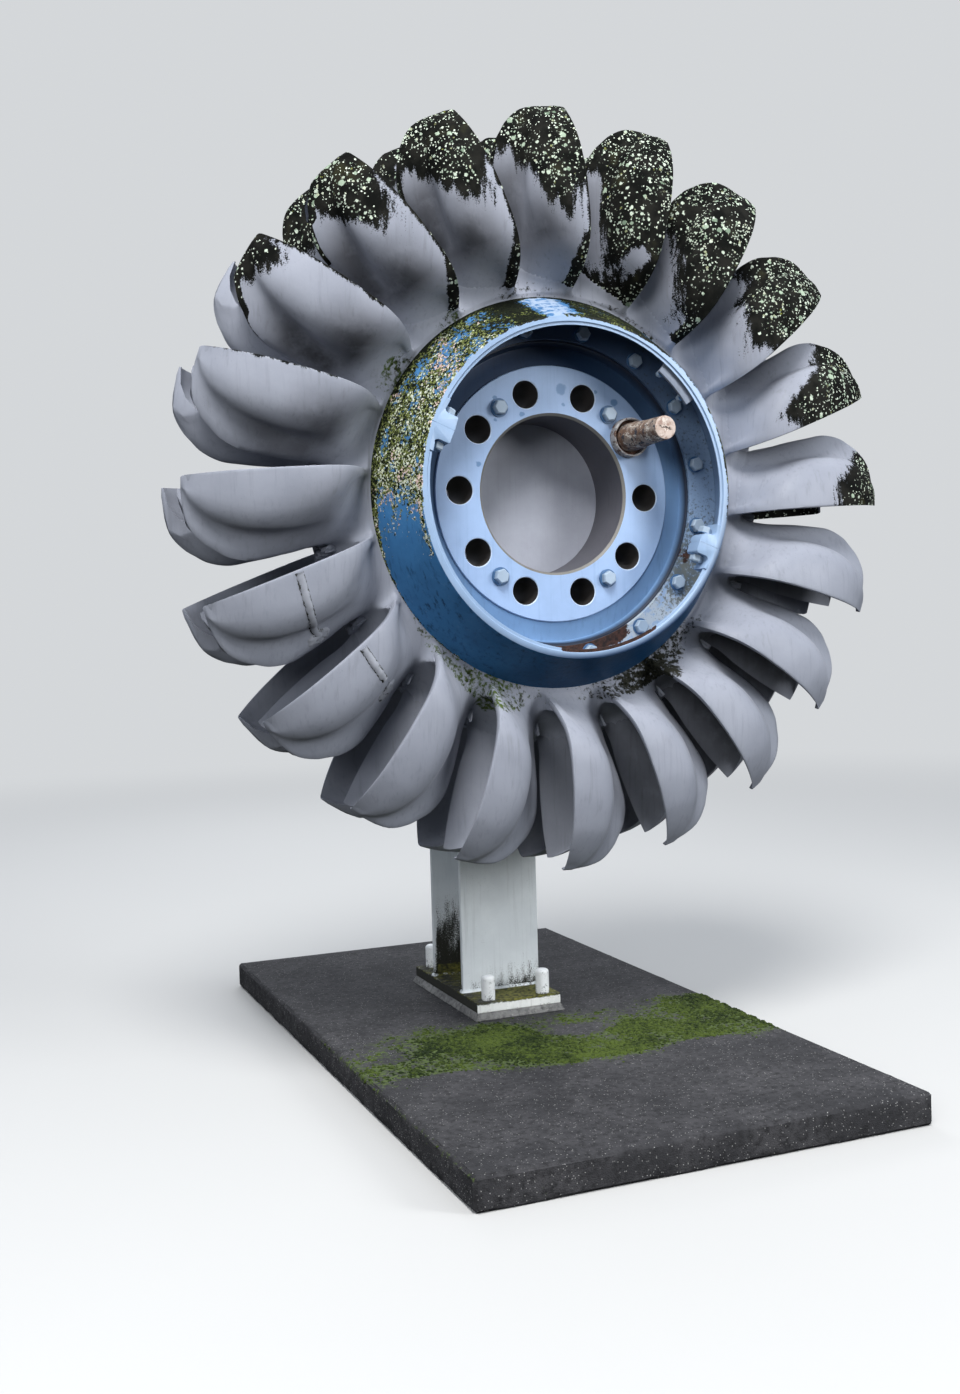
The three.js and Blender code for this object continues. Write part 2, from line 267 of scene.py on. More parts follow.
def add(tree, kind, inputs=None, **settings):
    """Adds a node, sets its options, sets or links its inputs, and returns its first output as a value."""
    made = tree.nodes.new(kind)
    for key, value in settings.items():
        setattr(made, key, value)
    for key, value in (inputs or {}).items():
        for each in value if isinstance(value, list) else [value]:
            if isinstance(each, Value):
                tree.links.new(each.socket, made.inputs[key])
            else:
                made.inputs[key].default_value = each
    return Value(made.outputs[0]) if made.outputs else None


def tree_of(*values):
    """The node tree of those values that aren't plain numbers or colours."""
    return next(value.tree for value in values if isinstance(value, Value))


def maths(operation, *operands):
    return add(tree_of(*operands), "ShaderNodeMath", dict(enumerate(operands)), operation=operation)


def mix(factor, a, b, blend="MIX"):
    """Mixes two colours, which are values or (r, g, b)."""
    first, second = (x if isinstance(x, Value) else (*x, 1.0) for x in (a, b))
    inputs = {0: factor, 6: first, 7: second}
    return add(tree_of(factor, a, b), "ShaderNodeMix", inputs, data_type="RGBA", blend_type=blend)[2]


def ramp(value, low, high, to_low=0.0, to_high=1.0):
    """Maps a value smoothly from one range onto another, and holds it there."""
    inputs = {0: value, 1: low, 2: high, 3: to_low, 4: to_high}
    return add(value.tree, "ShaderNodeMapRange", inputs, interpolation_type="SMOOTHSTEP")


def on_object(tree):
    """Object coordinates, in metres."""
    return add(tree, "ShaderNodeTexCoord")["Object"]


def stretched(tree, scale):
    """Object coordinates, stretched by a scale for each axis."""
    return add(tree, "ShaderNodeMapping", {"Vector": on_object(tree), "Scale": scale})


def grain(tree, scale, detail=4.0, rough=0.55, vector=None):
    """Noise from 0 to 1 at a scale per metre, on object coordinates unless a vector is given."""
    inputs = {"Vector": vector or on_object(tree), "Scale": scale, "Detail": detail, "Roughness": rough}
    return add(tree, "ShaderNodeTexNoise", inputs)


def cells(tree, scale, wave_scale=0.0, wave=0.0):
    """Cells at a scale per metre, their edges bent by a wave: distance from the middle, and random numbers."""
    place = on_object(tree)
    if wave:
        shift = grain(tree, wave_scale, 3.0) * wave
        place = add(tree, "ShaderNodeVectorMath", {0: place, 1: shift}, operation="ADD")
    distance = add(tree, "ShaderNodeTexVoronoi", {"Vector": place, "Scale": scale})
    return distance, add(tree, "ShaderNodeSeparateColor", {0: distance["Color"]})


def attribute(tree, name):
    """A number that a mesh stores on its points."""
    return add(tree, "ShaderNodeAttribute", attribute_name=name)["Fac"]


def node_group(kind, name, inputs, outputs):
    """A node group with named inputs (name: (kind, default)) and outputs (name: kind), and its inputs."""
    group = bpy.data.node_groups.new(name, kind)
    for key, (socket_kind, default) in inputs.items():
        socket = group.interface.new_socket(name=key, in_out="INPUT", socket_type="NodeSocket" + socket_kind)
        if default is not None:
            socket.default_value = default
    for key, socket_kind in outputs.items():
        group.interface.new_socket(name=key, in_out="OUTPUT", socket_type="NodeSocket" + socket_kind)
    return group, add(group, "NodeGroupInput")


# %% [markdown]
# ### The crust: black growth with lichen
#
# Where rain lies on old paint, a black crust of algae grows, and pale green lichen settles on it in
# rosettes. The crust ends downwards in streaks. Each piece stores how far a point lies inside the crust,
# in metres, as an attribute of its mesh. The group roughens that edge with noise that is stretched
# downwards, and sets the rosettes with four sizes of cells, only some of which are filled.

# %% Build the crust effect
GROWTH_OUTPUTS = {"Cover": "Float", "Colour": "Color", "Height": "Float"}
ROSETTES = (  # cells per metre, share left empty, size, and the two ends of the colour
    (24.0, 0.68, 0.28, (0.12, 0.17, 0.12), (0.34, 0.42, 0.32)),
    (48.0, 0.58, 0.31, (0.20, 0.26, 0.19), (0.50, 0.56, 0.47)),
    (105.0, 0.50, 0.35, (0.18, 0.24, 0.17), (0.62, 0.68, 0.58)),
    (64.0, 0.88, 0.33, (0.13, 0.14, 0.03), (0.46, 0.50, 0.40)),
)
crust, given = node_group(
    "ShaderNodeTree", "crust", {"Inside": ("Float", -1.0), "Streaks": ("Float", 0.1)}, GROWTH_OUTPUTS)
running_down = grain(crust, 26.0, 3.0, 0.6, stretched(crust, (1.6, 1.6, 0.22)))
speckle = grain(crust, 170.0, 4.0, 0.75)
shifted = (running_down - 0.5) * given["Streaks"] + given["Inside"] + (speckle - 0.5) * 0.15
ground = mix(ramp(grain(crust, 14.0, 5.0), 0.35, 0.7), (0.002, 0.0025, 0.002), (0.012, 0.012, 0.010))
ground = mix(ramp(grain(crust, 7.0, 3.0), 0.60, 0.8), ground, (0.024, 0.024, 0.010))
clusters = ramp(grain(crust, 8.0, 4.0, 0.6), 0.38, 0.58, 0.22, 1.05)
thick = ramp(grain(crust, 9.0, 2.0) * 0.22 + given["Inside"], 0.12, 0.24) * clusters
colour, height = ground, grain(crust, 90.0, 6.0, 0.75) * 0.5
for scale, empty, size, tint, tint_2 in ROSETTES:
    distance, lot = cells(crust, scale, wave_scale=120.0, wave=0.012)
    chosen = ramp(lot[0], empty, empty + 0.02)
    disc = ramp(lot[1] * -0.16 + (size + 0.1) - distance, 0.0, 0.05)
    kept = ramp(lot[2] * 0.6 + thick, 0.62, 0.72)
    spot = chosen * disc * kept
    colour = mix(spot, colour, mix(lot[2], tint, tint_2))
    height = spot * 0.5 + height
add(crust, "NodeGroupOutput", {"Cover": ramp(shifted, -0.008, 0.012), "Colour": colour, "Height": height})
print("crust nodes:", len(crust.nodes))

# %% [markdown]
# ### Moss
#
# Moss is softer and greener than the crust, and it sits in hollows where dirt gathers. The shader only
# stains the ground below it. The cushions themselves are real geometry, scattered later.

# %% Build the moss stain effect
moss, given = node_group(
    "ShaderNodeTree", "moss stain",
    {"Amount": ("Float", 0.0), "Green": ("Float", 0.5), "Fine": ("Float", 0.0)}, GROWTH_OUTPUTS)
upright = grain(moss, 34.0, 4.0, 0.6, stretched(moss, (1.0, 1.0, 0.3)))
specks = grain(moss, 210.0, 3.0, 0.7) * 0.6 + upright * 0.4
clumps = grain(moss, 55.0, 5.0, 0.65) * 0.75 + grain(moss, 12.0) * 0.25
clumps = (specks - clumps) * given["Fine"] + clumps
leafy = mix(grain(moss, 130.0, 3.0), (0.018, 0.035, 0.008), (0.10, 0.14, 0.035))
sooty = mix(ramp(grain(moss, 60.0, 5.0, 0.7), 0.35, 0.65), (0.016, 0.018, 0.006), (0.17, 0.165, 0.03))
living = mix(given["Fine"], leafy, sooty)
dead = mix(grain(moss, 90.0), (0.008, 0.009, 0.007), (0.035, 0.035, 0.025))
green = ramp(grain(moss, 16.0, 3.0) + given["Green"], 0.85, 1.15)
add(moss, "NodeGroupOutput", {
    "Cover": ramp(clumps + given["Amount"], 0.93, 1.06), "Colour": mix(green, dead, living),
    "Height": grain(moss, 140.0, 5.0, 0.7),
})
print("moss nodes:", len(moss.nodes))

# %% [markdown]
# ### Weathered paint
#
# Old paint is never one colour. It chalks in cloudy patches, dust and rain leave faint streaks, and fine
# specks of dirt stick to it. This group takes the clean paint colour and gives back the aged one, with a
# height for the bump and a mask that makes the chalky places rougher.

# %% Build the aged paint effect
aged, given = node_group(
    "ShaderNodeTree", "aged paint",
    {"Paint": ("Color", (0.4, 0.4, 0.42, 1)), "Clouds": ("Float", 0.25), "Streaks": ("Float", 0.2),
     "Specks": ("Float", 0.5), "Dirt": ("Color", (0.05, 0.05, 0.045, 1))},
    {"Colour": "Color", "Height": "Float", "Chalk": "Float"})
chalk = grain(aged, 3.2, 6.0, 0.6)
lighter = mix(1.0, given["Paint"], (1.22, 1.21, 1.2), "MULTIPLY")
darker = mix(1.0, given["Paint"], (0.74, 0.75, 0.77), "MULTIPLY")
colour = mix(given["Clouds"], given["Paint"], mix(ramp(chalk, 0.3, 0.7), darker, lighter))
runs = ramp(grain(aged, 38.0, 4.0, 0.6, stretched(aged, (1.5, 1.5, 0.07))), 0.5, 0.78)
colour = mix(runs * given["Streaks"], colour, given["Dirt"])
dots = ramp(grain(aged, 210.0, 2.0, 0.5), 0.66, 0.74) * ramp(grain(aged, 5.0, 3.0), 0.42, 0.72)
colour = mix(dots * given["Specks"], colour, given["Dirt"])
relief = grain(aged, 70.0, 5.0, 0.6) * 0.35 + grain(aged, 9.0, 3.0) * 0.65
add(aged, "NodeGroupOutput", {"Colour": colour, "Height": relief, "Chalk": chalk})
print("aged paint nodes:", len(aged.nodes))

# %% [markdown]
# ### From effects to a finish
#
# A finish lays the effects over each other in the order in which they happened to the real thing: paint
# first, then dirt and rust, then crust and moss on top. The last helper ends every such stack in a
# Principled shader with a bump.

# %% Helpers that stack layers into a material
def start_material(name):
    material = bpy.data.materials.new(name)
    material.use_nodes = True
    material.node_tree.nodes.clear()
    return material, material.node_tree


def principled(tree, colour, roughness, height=None, strength=0.25, distance=0.004, specular=0.5):
    """The shader of a finish, with a bump where a height is given."""
    inputs = {"Base Color": colour, "Roughness": roughness, "Specular IOR Level": specular}
    if height is not None:
        bump = {"Strength": strength, "Distance": distance, "Height": height}
        inputs["Normal"] = add(tree, "ShaderNodeBump", bump)
    return add(tree, "ShaderNodeBsdfPrincipled", inputs)


def end_material(tree, *layers, **settings):
    add(tree, "ShaderNodeOutputMaterial", {"Surface": principled(tree, *layers, **settings)})


def lay(under, cover, colour, roughness, height):
    """Lays one layer over (colour, roughness, height) and returns the new three."""
    rough = (roughness - under[1]) * cover + under[1]
    raised = (height - under[2]) * cover + under[2]
    return mix(cover, under[0], colour), rough, raised


def overgrown(layers, growth, roughness, **inputs):
    """Lays a growth effect over the layers, wherever it covers them."""
    made = add(layers[0].tree, "ShaderNodeGroup", inputs, node_tree=growth)
    return lay(layers, made["Cover"], made["Colour"], roughness, made["Height"])


def aged_paint(tree, paint, dirt, clouds, streaks, specks):
    inputs = {"Paint": (*paint, 1), "Clouds": clouds, "Streaks": streaks, "Specks": specks, "Dirt": (*dirt, 1)}
    return add(tree, "ShaderNodeGroup", inputs, node_tree=aged)


def painted(name, paint, dirt, clouds, streaks, specks, roughness, crusted=False, mossy=False, fine=0.0):
    """Aged paint, with crust, moss, and painted shade with some dirt where the mesh's attributes ask for them."""
    material, tree = start_material(name)
    old = aged_paint(tree, paint, dirt, clouds, streaks, specks)
    colour = old["Colour"]
    if crusted:
        # Painted shade with some dirt: the paint is darkened where the mesh's shade-and-grime attribute is high.
        uneven = attribute(tree, "grime") * ramp(grain(tree, 14.0, 5.0, 0.6), 0.25, 0.55, 0.75, 1.0)
        colour = mix(1.0, colour, mix(uneven, (1, 1, 1), (0.10, 0.092, 0.088)), "MULTIPLY")
    layers = (colour, old["Chalk"] * 0.25 + (roughness - 0.12), old["Height"])
    if mossy:
        amount, green = attribute(tree, "moss"), attribute(tree, "green")
        layers = overgrown(layers, moss, 0.95, Amount=amount, Green=green, Fine=fine)
    if crusted:
        layers = overgrown(layers, crust, 0.92, Inside=attribute(tree, "crust"), Streaks=0.16)
    end_material(tree, *layers, specular=0.1 if crusted else 0.5)
    return material


RUNNER_PAINT = painted(
    "runner_paint", (0.27, 0.287, 0.335), (0.06, 0.06, 0.06), 0.35, 0.22, 0.35, 0.42, crusted=True, mossy=True)
print("first finish:", RUNNER_PAINT.name)

# %% [markdown]
# ## The double buckets
#
# Each bucket has two cups side by side, with a sharp splitter between them that parts the jet, and a notch
# at the tip that lets the jet through to the bucket behind. On its back each cup bulges out, with a keel
# towards the stem. Such a form could be sculpted, or lofted through sections. Here it is sampled from
# named curves, the same ones that shape the solid, because then every bucket is exact and the mesh can be
# as fine as the render needs. Sizes are in millimetres until the points are placed.

# %% Curves of the bucket
def hermite(t, span, low, high, slope_low, slope_high):
    """A smooth curve between two knots, from the heights and the slopes there."""
    bends = slope_low * span * t * (1 - t) ** 2 - slope_high * span * t * t * (1 - t)
    return low + (high - low) * t * t * (3 - 2 * t) + bends


def smooth_curve(points):
    """A smooth curve through listed points, flat beyond both ends, for whole arrays at once."""
    x, y = np.array(points, float).T
    ends = np.arange(len(x))
    before, after = np.maximum(ends - 1, 0), np.minimum(ends + 1, len(x) - 1)
    slope = (y[after] - y[before]) / (x[after] - x[before])

    def value(at):
        at = np.clip(np.asarray(at, float), x[0], x[-1])
        i = np.clip(np.searchsorted(x, at), 1, len(x) - 1)
        span = x[i] - x[i - 1]
        return hermite((at - x[i - 1]) / span, span, y[i - 1], y[i], slope[i - 1], slope[i])

    return value


def in_metres(curve, radius):
    """A curve of the bucket, read at a radius in metres."""
    return curve(radius * 1000) / 1000


ROOT, TIP = 797.0, 1500.0
CUP_START, CUP_END, CUP_DEPTH, SQUARENESS = 862.0, 1490.0, 186.0, 2.5
RIM_DROP, EASED = 18.0, 2.5
CUP_COLUMNS = 17
SIDE = CUP_COLUMNS + 5  # column of the rim's lower outer edge
half_width = smooth_curve([
    (797, 158), (856, 263), (914, 327), (973, 358), (1032, 369), (1090, 370),
    (1207, 362), (1324, 334), (1383, 309), (1441, 275), (1480, 245), (1500, 226),
])
rim_width = smooth_curve([(797, 62), (860, 46), (950, 28), (1100, 17), (1500, 14)])
splitter = smooth_curve([(797, 64), (880, 56), (1036, 18), (1146, 17), (1256, 11), (1366, 0), (1476, -17)])
tip_edge = smooth_curve([
    (0, 1476), (0.2, 1438), (0.42, 1391), (0.54, 1398), (0.68, 1462), (0.77, 1490), (0.86, 1499), (0.94, 1493),
    (1, 1477),
])
keel_offset = smooth_curve([(797, 110), (950, 112), (1100, 135), (1250, 168), (1500, 186)])
back_lines = [smooth_curve(points) for points in (
    [(797, -150), (900, -198), (1000, -212), (1280, -198), (1350, -168), (1430, -110), (1476, -42)],
    [(797, -155), (900, -204), (1000, -218), (1200, -236), (1280, -230), (1350, -188), (1400, -124)],
    [(797, -158), (860, -188), (930, -208), (990, -222), (1080, -250), (1170, -271), (1250, -286),
     (1330, -275), (1380, -250), (1420, -226), (1470, -172), (1490, -112), (1500, -28)],
    [(797, -88), (870, -112), (950, -150), (1050, -172), (1200, -190), (1320, -184), (1420, -145),
     (1475, -92), (1500, -28)],
    [(797, 20), (850, 6), (920, -70), (980, -112), (1050, -146), (1130, -165), (1280, -166),
     (1400, -128), (1470, -72), (1500, -24)],
    [(797, 42), (870, 20), (950, -30), (1050, -74), (1200, -92), (1330, -82), (1430, -54),
     (1480, -32), (1500, -16)],
)]
BACK_SHARES = (0.34, 0.68, 0.93)


def rim_height(radius):
    return 64 - 0.078 * (radius - ROOT)


print("half width at 1100 mm:", float(half_width(1100)))

# %% [markdown]
# A bucket's section is a closed loop: from the splitter over the cup and the rim, around the outer edge,
# and back along the bulge to the middle. All loops have the same number of points, so rows of them make
# a clean grid. The points crowd together where the surface bends most, near the rims and the tip.

# %% Points of one bucket, in its own radius, offset and height
def superellipse(share):
    return np.maximum(0, 1 - np.abs(share) ** SQUARENESS) ** (1 / SQUARENESS)


def cup_height(radius, column):
    middle = (CUP_START + CUP_END) / 2
    along = superellipse((radius - middle) / (CUP_END - middle))
    brim = splitter(radius) * (1 - column) + rim_height(radius) * column
    return brim - CUP_DEPTH * along * superellipse(2 * column - 1)


def back_height(radius, share, keel):
    """Height of the back, smoothly through its seven lines, from the mid-plane (share 0) to the rim (1)."""
    knots = [np.zeros_like(keel), keel / 2, keel]
    knots += [keel + part * (1 - keel) for part in BACK_SHARES] + [np.ones_like(keel)]
    heights = [line(radius) for line in back_lines] + [rim_height(radius) - RIM_DROP]
    slopes = [np.zeros_like(radius)]
    for i in range(1, 7):
        j = min(i + 1, 6)
        slopes.append((heights[j] - heights[i - 1]) / (knots[j] - knots[i - 1]))
    result = heights[6].copy()
    for i in range(6):
        span = knots[i + 1] - knots[i]
        t = (share - knots[i]) / span
        piece = hermite(t, span, heights[i], heights[i + 1], slopes[i], slopes[i + 1])
        result = np.where((t >= 0) & (t < 1), piece, result)
    return result


def bucket_rows():
    """Rows from root to tip, with more of them at the cup's two ends and a narrow last one."""
    even = np.linspace(0, 1, 62)
    crowded = 0.5 - 0.5 * np.cos(np.pi * even)
    cup_rows = 0.088 + 0.912 * (0.45 * even + 0.55 * crowded)
    return np.concatenate([np.linspace(0, 0.075, 5), cup_rows[:-1], [1 - EASED / (TIP - ROOT), 1]])


def bucket_points():
    """Loops of (radius, offset, height) in millimetres, from root to tip."""
    rows = bucket_rows()[:, None]
    rim_radius = ROOT + rows * (TIP - ROOT)
    width = half_width(rim_radius)
    inner = 1 - rim_width(rim_radius) / width
    keel = keel_offset(rim_radius) / width
    cup = 0.5 - 0.5 * np.cos(np.pi * np.linspace(0, 1, CUP_COLUMNS))[None, :]
    rim_steps = np.array([0.14, 0.5, 0.86])[None, :]
    outer, inside = np.linspace(0, 1, 16)[None, 1:], np.linspace(0, 1, 10)[None, 1:]
    back = np.concatenate([1 - (1 - keel) * outer ** 1.15, keel * (1 - inside)], axis=1)

    def place(share, height):
        radius = ROOT + rows * (tip_edge(share) - ROOT)
        return np.stack([radius, share * width, height(radius) + 0 * share], axis=-1)

    parts = [
        place(cup * inner, lambda radius: cup_height(radius, cup) - (cup == 1) * EASED),
        place(inner + rim_steps * (1 - inner), rim_height),
        place(1 + 0 * rows, lambda radius: rim_height(radius) - EASED),
        place(1 + 0 * rows, lambda radius: rim_height(radius) - RIM_DROP / 2),
        place(1 + 0 * rows, lambda radius: rim_height(radius) - RIM_DROP),
        place(back, lambda radius: back_height(radius, back, keel)),
    ]
    half = np.concatenate(parts, axis=1)
    half[-1, :SIDE, 2] -= EASED
    half[-1, SIDE:, 2] += EASED
    return np.concatenate([half, half[:, -2:0:-1] * (1, -1, 1)], axis=1)


LOOPS = bucket_points()
print("bucket grid:", LOOPS.shape)

# %% [markdown]
# The root runs a little deeper, into the disc, and is closed there. At the tip, the mouth side and the
# back side are joined by a narrow end face with its two edges eased.

# %% The bucket as a closed grid
def zipped(first, second, along):
    """Triangles between two rows of points that share both ends, stepping by a place along them."""
    faces, i, j = [], 0, 0
    while i < len(first) - 1 or j < len(second) - 1:
        if j == len(second) - 1 or (i < len(first) - 1 and along[first[i + 1]] <= along[second[j + 1]]):
            face = (first[i], first[i + 1], second[j])
            i += 1
        else:
            face = (first[i], second[j + 1], second[j])
            j += 1
        if len(set(face)) == 3:
            faces.append(face)
    return faces


def bucket_grid():
    """Points in metres and faces of one bucket, with its root sunk into the disc."""
    roots = []
    for inward, narrower in ((17, 0.80), (12, 0.90), (6, 0.97)):
        row = LOOPS[0] * (1, narrower, 0.85 + 0.15 * narrower)
        row[:, 0] -= inward
        roots.append(row)
    rows = np.concatenate([np.array(roots), LOOPS], axis=0)
    count = rows.shape[1]
    faces = [tuple(range(count))] + loop_faces(len(rows), count)
    points = rows.reshape(-1, 3)
    last = len(points) - count
    mouth = [last + c % count for c in range(-SIDE, SIDE + 1)]
    back = [last + c for c in range(count - SIDE, SIDE - 1, -1)]
    return points / 1000, faces + zipped(mouth, back, points[:, 1])


BUCKET_POINTS, BUCKET_FACES = bucket_grid()
print("points of a bucket:", len(BUCKET_POINTS))

# %% [markdown]
# ### Where the growth sits
#
# The caps of crust and lichen are on the tips that face the rain, so every bucket around the top has its
# own. Each is told by how far out the cap begins, at five heights of the back from the keel to the rim.
# A thin dark line also follows the upper rims and widens towards the stem, two buckets are black at their
# roots, and one cap has a patch worn bare. At the rear the caps of three buckets are smaller. The moss
# keeps to the disc's face around the cover ring and to the hollows below it, and it is told by the angle
# around the wheel.

# %% Growth over the buckets and the disc
CAP_HEIGHTS = (-0.22, -0.17, -0.11, -0.04, 0.03)
CAPS = {
    1: (1.31, 1.21, 1.135, 1.115, 1.17),
    2: (1.30, 1.19, 1.08, 1.035, 1.065),
    3: (1.24, 1.04, 0.91, 0.84, 0.80),
    4: (1.13, 1.065, 0.95, 0.89, 0.85),
    5: (1.20, 1.08, 1.03, 0.985, 0.94),
    6: (1.32, 1.24, 1.10, 0.99, 0.93),
    7: (1.40, 1.34, 1.25, 1.15, 1.09),
    20: (1.38, 1.28, 1.205, 1.21, 1.27),
    19: (1.46, 1.43, 1.41, 1.37, 1.31),
}
GROOVES = {19: 1.30, 20: 1.04, 1: 1.10, 2: 1.16, 3: 1.10}
RIM_LINES = {
    18: (1.02, 0.004), 19: (1.00, 0.009), 20: (0.78, 0.012), 1: (0.78, 0.014), 2: (0.78, 0.013),
    3: (0.78, 0.014), 4: (0.78, 0.010),
}
BARE_SPOTS = {3: (0.955, -0.02, 0.055, 0.045)}  # radius, height, length and width
BLACK_ROOTS = {3: 0.90, 4: 0.80}
LESS_AT_REAR = {19: 0.30, 20: 0.24, 1: 0.22}
STREAKS = {11: ((0.84, 1.20), -0.19, 0.028, 0.2), 13: ((0.82, 1.00), -0.125, 0.016, 0.9)}
# Painted shade with some dirt, by bucket: how dark the cups that face down and the hollows beside the keel are
# painted.
CUP_SHADE_AND_GRIME = {6: .7, 7: .75, 8: .85, 9: .85, 10: .8, 11: .55, 12: .25, 14: .25, 15: .4, 16: .5, 17: .4}
HOLLOW_SHADE_AND_GRIME = {17: .35, 18: .7, 19: .95, 20: .9, 1: .85, 2: .7, 3: .3, 4: .25, 5: .2, 6: .15}
NO_CRUST = -1.0
MOSS_BY_ANGLE = np.array([  # angle, amount, how far out it reaches, and how green it is
    (0, .34, .79, .40), (20, .34, .79, .40), (35, .40, .79, .30), (60, .44, .81, .20), (85, .38, .82, .10),
    (104, .44, .86, .10), (112, .30, .80, .30), (122, .50, .84, .50), (133, .30, .80, .50),
    (146, .54, .88, .55), (156, .35, .84, .50), (170, .30, .79, .50), (200, .36, .79, .50),
    (215, .44, .80, .55), (235, .47, .86, .60), (250, .50, .92, .62), (268, .34, .84, .40),
    (285, .50, .86, .25), (300, .60, .89, .10), (318, .44, .84, .25), (335, .30, .80, .40),
    (360, .34, .79, .40),
])
FIRST_BUCKET, BUCKETS = 106.742, 20


def local_frame(degrees):
    """Unit vectors of a bucket: outwards, and from its back towards its mouth."""
    angle = math.radians(degrees)
    return np.array((math.cos(angle), 0, math.sin(angle))), np.array((math.sin(angle), 0, -math.cos(angle)))


def bucket_angle(number):
    return FIRST_BUCKET - 360 / BUCKETS * (number - 1)


def crust_depth(number, radius, offset, height, share):
    """How far points of a bucket lie inside its crust, in metres, and negative outside."""
    inside = np.full(len(radius), NO_CRUST)
    at_rear, offset = offset < 0, np.abs(offset)
    if number in CAPS:
        begins = np.interp(height, CAP_HEIGHTS, CAPS[number])
        in_stem = offset < in_metres(keel_offset, radius) + 0.012
        begins = np.where(in_stem, GROOVES.get(number, max(CAPS[number][0], 1.18) + 0.02), begins)
        cup_side = share < 0.5
        inside = np.where(cup_side, radius - begins - 0.1, radius - begins)
        inside -= at_rear * LESS_AT_REAR.get(number, 0.0)
    if number in BLACK_ROOTS:
        root = np.where(share > 0.5, np.minimum(BLACK_ROOTS[number] - radius, 0.06), NO_CRUST)
        inside = np.maximum(inside, root)
    if number in BARE_SPOTS:
        at_radius, at_height, long, wide = BARE_SPOTS[number]
        inside -= 0.20 * np.exp(-((radius - at_radius) / long) ** 2 - ((height - at_height) / wide) ** 2) * share
    if number in RIM_LINES:
        begins, wide = RIM_LINES[number]
        below_edge = 0.96 * in_metres(half_width, radius) - offset
        from_rim = np.abs(in_metres(rim_height, radius) - height) + np.maximum(0, below_edge)
        wide = wide + np.interp(radius, (0.80, 0.88, 1.0), (0.066, 0.042, 0.0))
        line = np.where(radius > begins, np.minimum((wide - from_rim) * 4.0, 0.08), NO_CRUST)
        inside = np.maximum(inside, line)
    return inside


def bucket_shade_and_grime(number, radius, offset, height, on_back, in_cup):
    """Smooth painted shade with some dirt: in the cups that face down, and in the hollow beside the keel of the
    upper buckets.
    """
    depth = np.clip((in_metres(rim_height, radius) - height) / 0.15, 0, 1)
    cup = CUP_SHADE_AND_GRIME.get(number, 0.0) * in_cup * depth ** 0.5
    crease = np.exp(-((offset - in_metres(keel_offset, radius) - 0.055) / 0.055) ** 2)
    crease *= np.interp(radius, (0.92, 1.02, 1.20, 1.36), (0.0, 1.0, 0.9, 0.0))
    lower = np.interp(radius, (0.90, 0.98, 1.06, 1.20), (0.0, 1.0, 0.8, 0.0))
    lower *= np.interp(height, (-0.22, -0.12, -0.02), (0.3, 1.0, 0.5))
    return np.maximum(cup, HOLLOW_SHADE_AND_GRIME.get(number, 0.0) * np.maximum(crease, lower) * on_back)


def moss_on_wheel(points):
    """Moss amount and greenness from the place on the wheel."""
    radius, angle = around_axle(points)
    amount, reach, green = (np.interp(angle, MOSS_BY_ANGLE[:, 0], MOSS_BY_ANGLE[:, k]) for k in (1, 2, 3))
    fade = np.clip((reach + 0.03 - radius) / 0.05, 0, 1)
    front = np.where(points[:, 1] < MID_PLANE, 1.0, 0.75)
    return amount * fade * front, green


def set_values(mesh, **values):
    """Stores arrays of numbers on a mesh's points, under the names that the materials read."""
    for name, numbers in values.items():
        layer = mesh.attributes.new(name, "FLOAT", "POINT")
        layer.data.foreach_set("value", np.asarray(numbers, np.float32))


print("buckets with a cap:", sorted(CAPS))

# %% [markdown]
# Now the grid is turned into twenty buckets. Each stands for its own solid, so each can also be looked at
# or replaced alone.

# %% Make the twenty buckets
LOCAL_RADIUS, LOCAL_OFFSET, LOCAL_HEIGHT = BUCKET_POINTS.T
LOOP_LENGTH = LOOPS.shape[1]
column = np.arange(len(BUCKET_POINTS)) % LOOP_LENGTH
from_middle = np.minimum(column, LOOP_LENGTH - column)
ON_BACK = (from_middle > SIDE).astype(float)
IN_CUP = (from_middle < CUP_COLUMNS - 1).astype(float)


def bucket_world(number):
    outwards, mouthwards = local_frame(bucket_angle(number))
    points = LOCAL_RADIUS[:, None] * outwards + LOCAL_HEIGHT[:, None] * mouthwards
    points[:, 1] = MID_PLANE - LOCAL_OFFSET
    return points


def make_bucket(number):
    points = bucket_world(number)
    name = f"bucket_{number:02d}"
    mesh = mesh_from(name + "_cast", points, BUCKET_FACES, merged=False)
    depth = crust_depth(number, LOCAL_RADIUS, LOCAL_OFFSET, LOCAL_HEIGHT, ON_BACK)
    amount, green = moss_on_wheel(points)
    if number in STREAKS:
        (begins, ends), height, wide, hue = STREAKS[number]
        along = np.clip(np.minimum(LOCAL_RADIUS - begins, ends - LOCAL_RADIUS) / 0.05 + 1, 0, 1)
        across = 1 - np.abs(LOCAL_OFFSET - in_metres(keel_offset, LOCAL_RADIUS) - 0.02) / wide
        streak = np.clip(across, 0, 1) * along * ON_BACK * 0.6
        green = np.where(streak > amount, hue, green)
        amount = np.maximum(amount, streak)
    # Painted shade with some dirt, stored on the points for the paint to darken.
    grime = bucket_shade_and_grime(number, LOCAL_RADIUS, np.abs(LOCAL_OFFSET), LOCAL_HEIGHT, ON_BACK, IN_CUP)
    set_values(mesh, crust=depth, moss=amount, green=green, grime=grime)
    return finish_mesh(name + "_cast", mesh, RUNNER_PAINT, "wheel", [name], sharp=50)


buckets = [make_bucket(number) for number in range(1, BUCKETS + 1)]
print("triangles in a bucket:", triangles(buckets[0].data))

